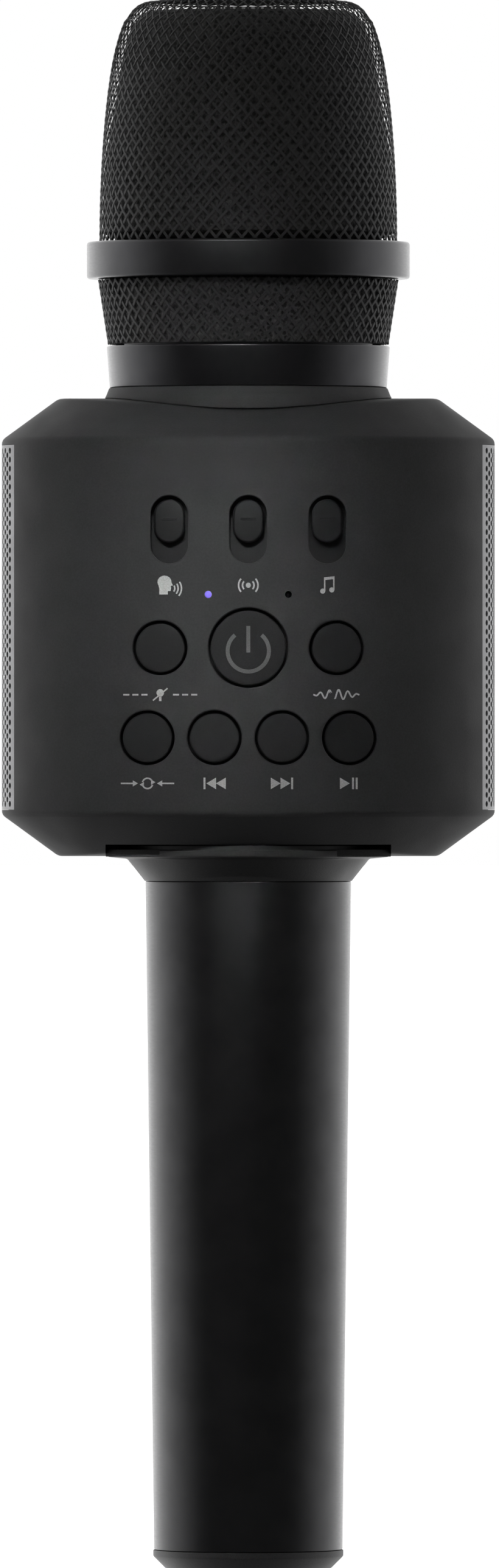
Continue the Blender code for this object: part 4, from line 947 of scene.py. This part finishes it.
def build_buttons():
    """Push buttons whose faces follow the panel, with rounded rims."""
    for name in BUTTONS:
        x, z, hole = button_place(name)
        cap = hole - BUTTON_CLEARANCE
        skirt = hole + BUTTON_SKIRT
        end = skin_y(abs(x) + skirt, BODY_WALL) + GAP
        rings = [on_panel(disc(x, z, cap * share, 64), BUTTON_SINK) for share in (0.02, 0.35, 0.65, 0.85)]
        for shrink, inset in quarter_round(BUTTON_ROUNDING, (90.0, 65.0, 40.0, 20.0, 0.0)):
            rings.append(on_panel(disc(x, z, cap - shrink, 64), BUTTON_SINK + inset))
        for radius, y in ((cap, end), (skirt, end), (skirt, end + 0.7 * MM)):
            rings.append([(a, y, b) for a, b in disc(x, z, radius, 64)])
        piece(name + "_cap", *loft(rings), name + "_button")


def slider_shutter(x, low, high):
    """Curved plate behind the slot that keeps dust out wherever the knob is."""
    columns = np.linspace(x - SHUTTER_HALF_WIDTH, x + SHUTTER_HALF_WIDTH, 13)
    plan = [(a, skin_y(a, SHUTTER_INSET)) for a in columns]
    plan += [(a, skin_y(a, SHUTTER_INSET + SHUTTER_THICKNESS)) for a in reversed(columns)]
    return prism(plan, low, high)


def slider_grip(x):
    """Rounded grip that stands in the slot."""
    rings = [on_panel(pill(x, KNOB_Z, KNOB_HALF_WIDTH, KNOB_HALF_HEIGHT), SHUTTER_INSET + GAP)]
    for shrink, inset in quarter_round(KNOB_ROUNDING, (0.0, 20.0, 40.0, 60.0, 90.0)):
        outline = pill(x, KNOB_Z, KNOB_HALF_WIDTH - shrink, KNOB_HALF_HEIGHT - shrink)
        rings.append(on_panel(outline, KNOB_SINK + inset))
    return loft(rings)


def slider_rib(x):
    """Fine rib across the grip."""
    rings = []
    for grow, inset in ((0.0, KNOB_SINK + 0.2 * MM), (0.0, KNOB_SINK - 0.08 * MM),
                        (-0.1 * MM, KNOB_SINK - 0.16 * MM)):
        outline = pill(x, KNOB_Z + 0.3 * MM, 1.3 * MM + grow, 0.22 * MM + grow, 16)
        rings.append(on_panel(outline, inset))
    return loft(rings)


def build_sliders():
    """Slide knobs: a curved shutter, a rounded grip and a fine rib across the grip."""
    for name in SLIDERS:
        x = centre(name + "_fader").x
        low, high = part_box(name + "_slider")
        shapes = [slider_shutter(x, low.z, high.z), slider_grip(x), slider_rib(x)]
        piece(name + "_knob", *joined(shapes), name + "_slider")


def build_lamps():
    """Domed lens of the lit lamp and the deeper one of the unlit lamp."""
    for name, sink in (("status_light", 0.05 * MM), ("charge_light", 1.2 * MM)):
        middle = centre(name)
        radius = 0.58 * MM
        rings = [on_panel(disc(middle.x, middle.z, radius), 4.0 * MM)]
        for degrees in (0.0, 30.0, 60.0, 85.0):
            angle = math.radians(degrees)
            bulge = 0.25 * MM * (1.0 - math.sin(angle))
            rings.append(on_panel(disc(middle.x, middle.z, radius * math.cos(angle)), sink + bulge))
        piece(name + "_lens", *loft(rings), name)


# ------------------------------------------------------------ panel marks

def filled(outlines, thickness):
    """Flat plate in the XY plane from outlines, where an outline inside another is a hole."""
    curve = bpy.data.curves.new("outline", "CURVE")
    curve.dimensions = "2D"
    curve.fill_mode = "BOTH"
    curve.extrude = 0.5 * thickness
    for outline in outlines:
        spline = curve.splines.new("POLY")
        spline.points.add(len(outline) - 1)
        for target, point in zip(spline.points, outline):
            target.co = (point[0], point[1], 0.0, 1.0)
        spline.use_cyclic_u = True
    obj = add_object("outline", curve)
    shape = emptied(as_seen(obj))
    bpy.data.objects.remove(obj, do_unlink=True)
    bpy.data.curves.remove(curve)
    return shape


def stroke(path, width):
    """Outline of a line of one width along a path."""
    path = np.array(path)
    along = np.gradient(path, axis=0)
    along /= np.linalg.norm(along, axis=1, keepdims=True)
    square = np.column_stack([-along[:, 1], along[:, 0]]) * 0.5 * width
    return [*(path + square), *(path - square)[::-1]]


def straight(start, end, width, steps=6):
    """Stroke between two points."""
    share = np.linspace(0.0, 1.0, steps)[:, None]
    return stroke(np.array(start) * (1.0 - share) + np.array(end) * share, width)


def arc(x, y, radius, start, end, width, steps=14):
    """Round stroke between two angles in degrees."""
    angles = np.radians(np.linspace(start, end, steps))
    return stroke(np.column_stack([x + radius * np.cos(angles), y + radius * np.sin(angles)]), width)


def triangle(x, y, half, direction):
    """Arrowhead that points left (-1) or right (+1), with its middle at (x, y)."""
    return [(x - direction * half * 0.85, y - half), (x + direction * half * 0.85, y),
            (x - direction * half * 0.85, y + half)]


def bar(x, y, half_width, half_height):
    """Upright or level bar."""
    return [(x - half_width, y - half_height), (x + half_width, y - half_height),
            (x + half_width, y + half_height), (x - half_width, y + half_height)]


def mark(name, x, z, outlines, node="front_housing", sink=0.0, ink=None):
    """Thin print on the panel or on a button, from outlines in millimetres about a point."""
    thickness = 0.05 * MM
    plates = [filled([[(a * MM, b * MM) for a, b in outline]], thickness) for outline in outlines]
    points, faces = joined(plates)
    laid = [(x + a, skin_y(x + a, sink - c - 0.4 * thickness), z + b) for a, b, c in points]
    piece(name, laid, faces, node, hide=False, material=ink or PANEL_INK)


def build_marks():
    """Plain pictograms beside the controls, and the power symbol on its button."""
    voice, echo, music = (centre(name + "_fader").x for name in SLIDERS)
    under_slots = 162.8 * MM
    skull = [(-0.9 + 1.15 * math.cos(a), 0.55 + 1.05 * math.sin(a))
             for a in np.radians(np.arange(0, 211, 15))]
    face = [(-1.75, -0.6), (-1.75, -1.5), (-0.35, -1.5), (-0.35, -0.95), (0.1, -0.95), (0.2, -0.35),
            (0.12, -0.1), (0.5, -0.02), (0.28, 0.4)]
    waves = [arc(0.0, -0.5, radius, -40.0, 34.0, 0.24) for radius in (0.8, 1.35, 1.9)]
    mark("voice_mark", voice + 0.1 * MM, under_slots, [skull + face] + waves)
    ripples = [arc(0.0, 0.0, radius, turn - 42.0, turn + 42.0, 0.26)
               for turn in (0.0, 180.0) for radius in (0.95, 1.6)]
    mark("echo_mark", echo, under_slots, [disc(0.0, 0.0, 0.42)] + ripples)
    note = [disc(-0.75, -0.95, 0.42), disc(0.75, -0.75, 0.42), bar(-0.42, 0.15, 0.11, 1.1),
            bar(1.08, 0.35, 0.11, 1.1), [(-0.53, 0.85), (1.19, 1.05), (1.19, 1.5), (-0.53, 1.3)]]
    mark("music_mark", music, under_slots, note)

    x, _, _ = button_place("vocal_cut")
    label = 144.8 * MM
    mute = [disc(0.0, 0.3, 0.62), bar(0.0, -0.7, 0.2, 0.35), straight((-1.2, -0.95), (1.2, 1.05), 0.22)]
    dashes = [bar(side * (2.6 + 1.5 * i), 0.0, 0.5, 0.14) for side in (-1, 1) for i in range(3)]
    mark("vocal_cut_mark", x, label, mute + dashes)
    x, _, _ = button_place("effect")
    share = np.linspace(-1.0, 1.0, 60)
    swell = 0.85 * np.cos(0.5 * math.pi * share) * np.sin(share * 5.0 * math.pi)
    mark("effect_mark", x, label, [stroke(np.column_stack([share * 3.8, swell]), 0.26)])
    x, z, _ = button_place("source")
    lower = z - 7.5 * MM
    loop = [arc(0.0, 0.0, 0.85, 30.0, 165.0, 0.25), arc(0.0, 0.0, 0.85, 210.0, 345.0, 0.25),
            triangle(0.95, 0.2, 0.42, 1), triangle(-0.95, -0.2, 0.42, -1)]
    inputs = [straight((side * 4.4, 0.0), (side * 2.2, 0.0), 0.25) for side in (-1, 1)]
    heads = [triangle(side * 2.0, 0.0, 0.5, -side) for side in (-1, 1)]
    mark("source_mark", x, lower, loop + inputs + heads)
    for name, direction in (("previous", -1), ("next", 1)):
        x, _, _ = button_place(name)
        arrows = [triangle(direction * offset, 0.0, 0.95, direction) for offset in (-1.05, 0.55)]
        mark(name + "_mark", x, lower, arrows + [bar(direction * 1.65, 0.0, 0.16, 0.95)])
    x, _, _ = button_place("play")
    mark("play_mark", x, lower, [triangle(-0.7, 0.0, 0.95, 1), bar(0.65, 0.0, 0.16, 0.95),
                                 bar(1.25, 0.0, 0.16, 0.95)])

    x, z, _ = button_place("power")
    ring = arc(0.0, -0.5, 3.4, 130.0, 410.0, 0.65, 60)
    stem = straight((0.0, -0.76), (0.0, 3.6), 0.65)
    mark("power_mark", x, z, [ring, stem], "power_button", BUTTON_SINK, BUTTON_INK)


# --------------------------------------------------------- side and back

def sliced(points, faces, cuts):
    """The same plate with every face cut at each x, so that it bends smoothly."""
    mesh = new_mesh("plate", points, faces)
    bm = bmesh.new()
    bm.from_mesh(mesh)
    for cut in cuts:
        everything = [*bm.verts, *bm.edges, *bm.faces]
        bmesh.ops.bisect_plane(bm, geom=everything, dist=0.001 * MM, plane_co=(cut, 0.0, 0.0),
                               plane_no=(1.0, 0.0, 0.0))
    bm.to_mesh(mesh)
    bm.free()
    return emptied(mesh)


def build_side_grilles():
    """Perforated plates bent round the two sides, each with a dark acoustic cloth behind it."""
    rim = 0.35 * MM
    fit = GAP - FINE_GAP
    half_depth = GRILLE_HALF_DEPTH + fit
    height = GRILLE_HIGH - GRILLE_LOW + 2.0 * fit
    outlines = [[(-half_depth, 0.0), (half_depth, 0.0), (half_depth, height), (-half_depth, height)]]
    column_pitch = HOLE_PITCH * math.sqrt(0.75)
    columns = int((half_depth - rim - HOLE_RADIUS) / column_pitch)
    rows = int((height - 2.0 * (rim + HOLE_RADIUS)) / HOLE_PITCH)
    start = 0.5 * (height - rows * HOLE_PITCH)
    for column in range(-columns, columns + 1):
        shift = 0.5 * HOLE_PITCH * (column % 2)
        for row in range(rows + 1 - column % 2):
            outlines.append(disc(column * column_pitch, start + shift + row * HOLE_PITCH, HOLE_RADIUS, 12))
    cuts = np.arange(-half_depth, half_depth, 0.5 * column_pitch)[1:]
    points, faces = sliced(*filled(outlines, GRILLE_THICKNESS), cuts)
    for name, side in (("left", -1), ("right", 1)):
        angles = np.arcsin(points[:, 0] / HALF_DEPTH)
        plan = oval(angles, 0.5 * GRILLE_THICKNESS - points[:, 2])
        bent = np.column_stack([side * plan[:, 0], plan[:, 1], GRILLE_LOW - fit + points[:, 1]])
        piece(name + "_perforated_plate", bent, faces, name + "_speaker_grille")
        cloth_faces = (GRILLE_THICKNESS + FINE_GAP, GRILLE_THICKNESS + 0.25 * MM)
        cloth = side_band(side, GRILLE_HALF_DEPTH, cloth_faces, GRILLE_LOW, GRILLE_HIGH)
        piece(name + "_acoustic_cloth", *cloth, name + "_speaker_grille", hide=False,
              material=MATERIALS["speaker_paper"])


def cross_cutter(x, y, z):
    """Tapered cross for a screw's drive, at its head's face: two bars, one after the other."""
    shapes = []
    for half_a, half_b in ((1.25, 0.24), (0.24, 1.25)):
        rings = []
        for depth, shrink in ((-0.2, 1.0), (0.9, 0.55)):
            a, b = half_a * shrink * MM, half_b * shrink * MM
            corners = ((-1, -1), (1, -1), (1, 1), (-1, 1))
            rings.append([(x + i * a, y - depth * MM, z + j * b) for i, j in corners])
        shapes.append(loft(rings))
    return shapes


def build_screws():
    """Pan-head screws with a cross drive, at the bottom of the rear wells."""
    head, shank, segments = 2.2 * MM, 1.1 * MM, 40
    for node in screw_nodes():
        low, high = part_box(node)
        x, z, face = centre(node).x, centre(node).z, high.y
        outline = [(0.0, low.y), (shank, low.y + 0.8 * MM), (shank, face - 1.6 * MM),
                   (head, face - 1.6 * MM), (head, face - 0.9 * MM), (head * 0.9, face - 0.45 * MM),
                   (head * 0.68, face - 0.12 * MM), (head * 0.35, face), (0.0, face)]
        points = turned_on_y(outline, x, z, segments)
        screw = raw_object(node.replace("housing_", "") + "_head", points,
                           grid_faces(len(outline), segments))
        for shape in cross_cutter(x, face, z):
            carve(screw, [shape])
        settle(screw, node)


def build_sockets():
    """Charging socket with its tongue and contacts, and the line-in jack with its spring ring."""
    low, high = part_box("charging_socket")
    middle = centre("charging_socket")
    half_width, half_height = high.x, 0.5 * (high.z - low.z)
    wall = 0.35 * MM
    rings = []
    for y, inset in ((low.y, 0.0), (high.y - 0.12 * MM, 0.0), (high.y, 0.12 * MM), (high.y, wall),
                     (low.y + 0.6 * MM, wall)):
        outline = pill(0.0, middle.z, half_width - inset, half_height - inset, 48)
        rings.append([(a, y, b) for a, b in outline])
    piece("socket_shell", *loft(rings), "charging_socket")
    tongue = block((-3.3 * MM, low.y + 0.5 * MM, middle.z - 0.35 * MM),
                   (3.3 * MM, high.y - 0.8 * MM, middle.z + 0.35 * MM))
    piece("socket_tongue", *tongue, "socket_board", hide=False, material=MATERIALS["inner_plastic"])
    for i in range(-3, 4):
        contact = block(((i * 0.85 - 0.2) * MM, low.y + 1.0 * MM, middle.z - 0.4 * MM),
                        ((i * 0.85 + 0.2) * MM, high.y - 1.1 * MM, middle.z + 0.4 * MM))
        piece(f"socket_contact_{i + 4}", *contact, "charging_socket", hide=False)

    low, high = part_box("line_in_jack")
    middle = centre("line_in_jack")
    radius = 0.5 * (high.z - low.z)
    for name, outline, hide in (
        ("jack_body", [(0.0, low.y), (radius, low.y), (radius, high.y - 0.2 * MM),
                       (radius - 0.2 * MM, high.y), (2.0 * MM, high.y), (1.8 * MM, high.y - 0.2 * MM),
                       (1.8 * MM, low.y + 1.5 * MM), (0.0, low.y + 1.5 * MM)], True),
        ("jack_spring_ring", [(1.55 * MM, high.y - 1.4 * MM), (1.85 * MM, high.y - 1.4 * MM),
                              (1.85 * MM, high.y - 0.6 * MM), (1.7 * MM, high.y - 0.5 * MM),
                              (1.55 * MM, high.y - 0.6 * MM)], False),
    ):
        points = turned_on_y(outline, middle.x, middle.z, 48)
        faces = grid_faces(len(outline), 48, close=not hide)
        material = None if hide else MATERIALS["plated_steel"]
        piece(name, points, faces, "line_in_jack", hide=hide, material=material)


# ----------------------------------------------------------------- handle

def build_handle():
    """Adaptor, tapered tube and end cap, all with eased edges."""
    low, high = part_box("handle_tube")
    wall = 1.65 * MM
    low_radius, high_radius = 15.65 * MM, high.x
    turned_piece("tapered_tube", [
        (low_radius - wall, low.z - 0.25 * MM, 0.2 * MM),
        (low_radius, low.z - 0.25 * MM, 0.2 * MM),
        (high_radius, high.z, 0.15 * MM),
        (high_radius - wall, high.z, 0.2 * MM),
    ], "handle_tube")

    low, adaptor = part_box("handle_adaptor")
    shoulder = high.z + 0.04 * MM
    turned_piece("adaptor_cone", [
        (ADAPTOR_BORE, low.z, 0.0),
        (ADAPTOR_SPIGOT, low.z, 0.3 * MM),
        (ADAPTOR_SPIGOT, shoulder, 0.0),
        (17.17 * MM, shoulder, 0.12 * MM),
        (20.1 * MM, 117.7 * MM, 0.3 * MM),
        (adaptor.x, 118.0 * MM, 0.25 * MM),
        (adaptor.x, 119.2 * MM, 0.2 * MM),
        (10.5 * MM, 119.2 * MM, 0.0),
        (10.5 * MM, 122.2 * MM, 0.0),
        (ADAPTOR_PLUG, 122.2 * MM, 0.2 * MM),
        (ADAPTOR_PLUG, adaptor.z, 0.3 * MM),
        (ADAPTOR_BORE, adaptor.z, 0.0),
    ], "handle_adaptor")

    turned_piece("adaptor_land", [
        (LAND_BORE, LAND_LOW, 0.0),
        (LAND_RADIUS, LAND_LOW, 0.0),
        (LAND_RADIUS, LAND_HIGH, 0.2 * MM),
        (LAND_BORE, LAND_HIGH, 0.0),
    ], "handle_adaptor", 144, hide=False)

    wing_end = CHANNEL_HALF_WIDTH - FINE_GAP
    for name, side in (("left", -1), ("right", 1)):
        inner, outer = sorted((side * KEY_START, side * wing_end))
        key = block((inner, -KEY_HALF_DEPTH, KEY_LOW), (outer, KEY_HALF_DEPTH, KEY_HIGH))
        piece(name + "_adaptor_key", *key, "handle_adaptor", hide=False)
        xs = np.linspace(inner, outer, 24)
        depths = WING_HALF_DEPTH * np.sqrt(1.0 - (xs / WING_HALF_SPAN) ** 2)
        plan = [*zip(xs, -depths), *zip(xs[::-1], depths[::-1])]
        wing = prism(plan, WING_LOW, WING_HIGH)
        piece(name + "_adaptor_wing", *wing, "handle_adaptor", hide=False)

    low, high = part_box("end_cap")
    rim = high.x
    seat = 3.05 * MM
    turned_piece("chamfered_cap", [
        (0.0, 0.0, 0.0),
        (10.6 * MM, 0.0, 0.0),
        (10.8 * MM, 0.25 * MM, 0.05 * MM),
        (11.4 * MM, 0.25 * MM, 0.05 * MM),
        (11.6 * MM, 0.0, 0.05 * MM),
        (13.75 * MM, 0.0, 0.25 * MM),
        (rim, 2.05 * MM, 0.25 * MM),
        (rim, seat, 0.15 * MM),
        (13.6 * MM, seat, 0.0),
        (13.6 * MM, high.z, 0.3 * MM),
        (12.0 * MM, high.z, 0.2 * MM),
        (12.0 * MM, 4.5 * MM, 0.3 * MM),
        (0.0, 4.5 * MM, 0.0),
    ], "end_cap")


def paint_carried_nodes():
    """Give every CAD node that still shows its slot's material."""
    for node, obj in frame["nodes"].items():
        if obj.hide_render:
            continue
        obj.data.materials.clear()
        obj.data.materials.append(MATERIALS[SLOT_OF[node]])


# ----------------------------------------------------- stage, light, view

def build_stage():
    """Pale floor that lights nothing, so the microphone keeps its dark underside."""
    reach = 30.0
    obj = raw_object("floor", [(-reach, -reach, 0.0), (reach, -reach, 0.0), (reach, reach, 0.0),
                               (-reach, reach, 0.0)], [(0, 1, 2, 3)])
    obj.data.materials.append(new_material("floor_white", {
        "Specular IOR Level": 0.0,
        "Base Color": (0.9, 0.9, 0.9, 1.0),
        "Roughness": 1.0,
        "Emission Color": (1.0, 1.0, 1.0, 1.0),
        "Emission Strength": 0.85,
    }))
    obj.visible_glossy = False
    obj.visible_diffuse = False


def build_world():
    """White studio: bright walls at the sides and back, dimmer in front, above and below."""
    world = bpy.data.worlds.new("studio")
    bpy.context.scene.world = world
    world.use_nodes = True
    tree = world.node_tree
    background = tree.nodes["Background"]
    background.inputs["Color"].default_value = (1.0, 1.0, 1.0, 1.0)
    direction = tree.nodes.new("ShaderNodeTexCoord")
    axes = tree.nodes.new("ShaderNodeSeparateXYZ")
    tree.links.new(direction.outputs["Generated"], axes.inputs["Vector"])

    def ramp(source, start, end, low, high):
        node = tree.nodes.new("ShaderNodeMapRange")
        node.interpolation_type = "SMOOTHSTEP"
        for socket, value in (("From Min", start), ("From Max", end), ("To Min", low), ("To Max", high)):
            node.inputs[socket].default_value = value
        tree.links.new(source, node.inputs["Value"])
        return node.outputs["Result"]

    def combine(operation, first, second):
        node = tree.nodes.new("ShaderNodeMath")
        node.operation = operation
        for socket, source in zip(node.inputs, (first, second)):
            if isinstance(source, float):
                socket.default_value = source
            else:
                tree.links.new(source, socket)
        return node.outputs["Value"]

    behind = ramp(axes.outputs["Y"], -0.6, 0.65, 0.0, 1.0)
    height = combine("ABSOLUTE", axes.outputs["Z"], 0.0)
    belt = ramp(height, 0.45, 0.85, 1.0, 0.08)
    tilt = ramp(axes.outputs["X"], -1.0, 1.0, 2.1, 1.7)
    walls = combine("MULTIPLY", combine("MULTIPLY", behind, belt), tilt)
    light = combine("ADD", walls, 0.13)
    rays = tree.nodes.new("ShaderNodeLightPath")
    seen = tree.nodes.new("ShaderNodeMix")
    tree.links.new(rays.outputs["Is Camera Ray"], seen.inputs["Factor"])
    tree.links.new(light, seen.inputs["A"])
    seen.inputs["B"].default_value = 1.0
    tree.links.new(seen.outputs["Result"], background.inputs["Strength"])


def add_softbox(name, place, aim, size, power, spread=math.pi):
    """Square area light that faces a point, with a grid that limits its spread."""
    light = bpy.data.lights.new(name, "AREA")
    light.shape = "RECTANGLE"
    light.size, light.size_y = size
    light.energy = power
    light.spread = spread
    obj = add_object(name, light)
    obj.location = place
    obj.rotation_euler = (Vector(aim) - Vector(place)).to_track_quat("-Z", "Y").to_euler()


def build_lights():
    """Broad softbox above the camera, a gridded spot on the panel and a gridded strip from the left."""
    grid = math.radians(3.0)
    add_softbox("front_softbox", (-0.3, -1.3, 1.35), (-0.004, 0.0, 0.15), (0.8, 0.6), 3.0)
    add_softbox("grid_spot", (-0.16, -1.63, 1.1), (-0.005, 0.0, 0.148), (0.04, 0.06), 0.017, grid)
    add_softbox("grid_strip", (-0.72, -1.46, 1.1), (-0.004, 0.0, 0.15), (0.04, 1.0), 0.035, grid)


def build_camera():
    """Long lens level with the middle of the microphone, straight in front of the panel."""
    distance = 3.5
    frame_height = 260.2 * MM
    data = bpy.data.cameras.new("camera")
    data.sensor_width = 24.0
    data.lens = data.sensor_width * distance / frame_height
    data.clip_end = 60.0
    obj = add_object("camera", data)
    obj.location = (0.2 * MM, -distance, 0.5 * frame_height)
    obj.rotation_euler = (0.5 * math.pi, 0.0, 0.0)
    bpy.context.scene.camera = obj
    bpy.context.scene.view_settings.view_transform = "Standard"


MATERIALS = slot_materials()
PANEL_INK = print_ink("panel_ink", 0.3)
BUTTON_INK = print_ink("button_ink", 0.06)
build_housings()
build_head()
build_neck()
build_buttons()
build_sliders()
build_lamps()
build_marks()
build_side_grilles()
build_screws()
build_sockets()
build_handle()
paint_carried_nodes()
build_stage()
build_world()
build_lights()
build_camera()
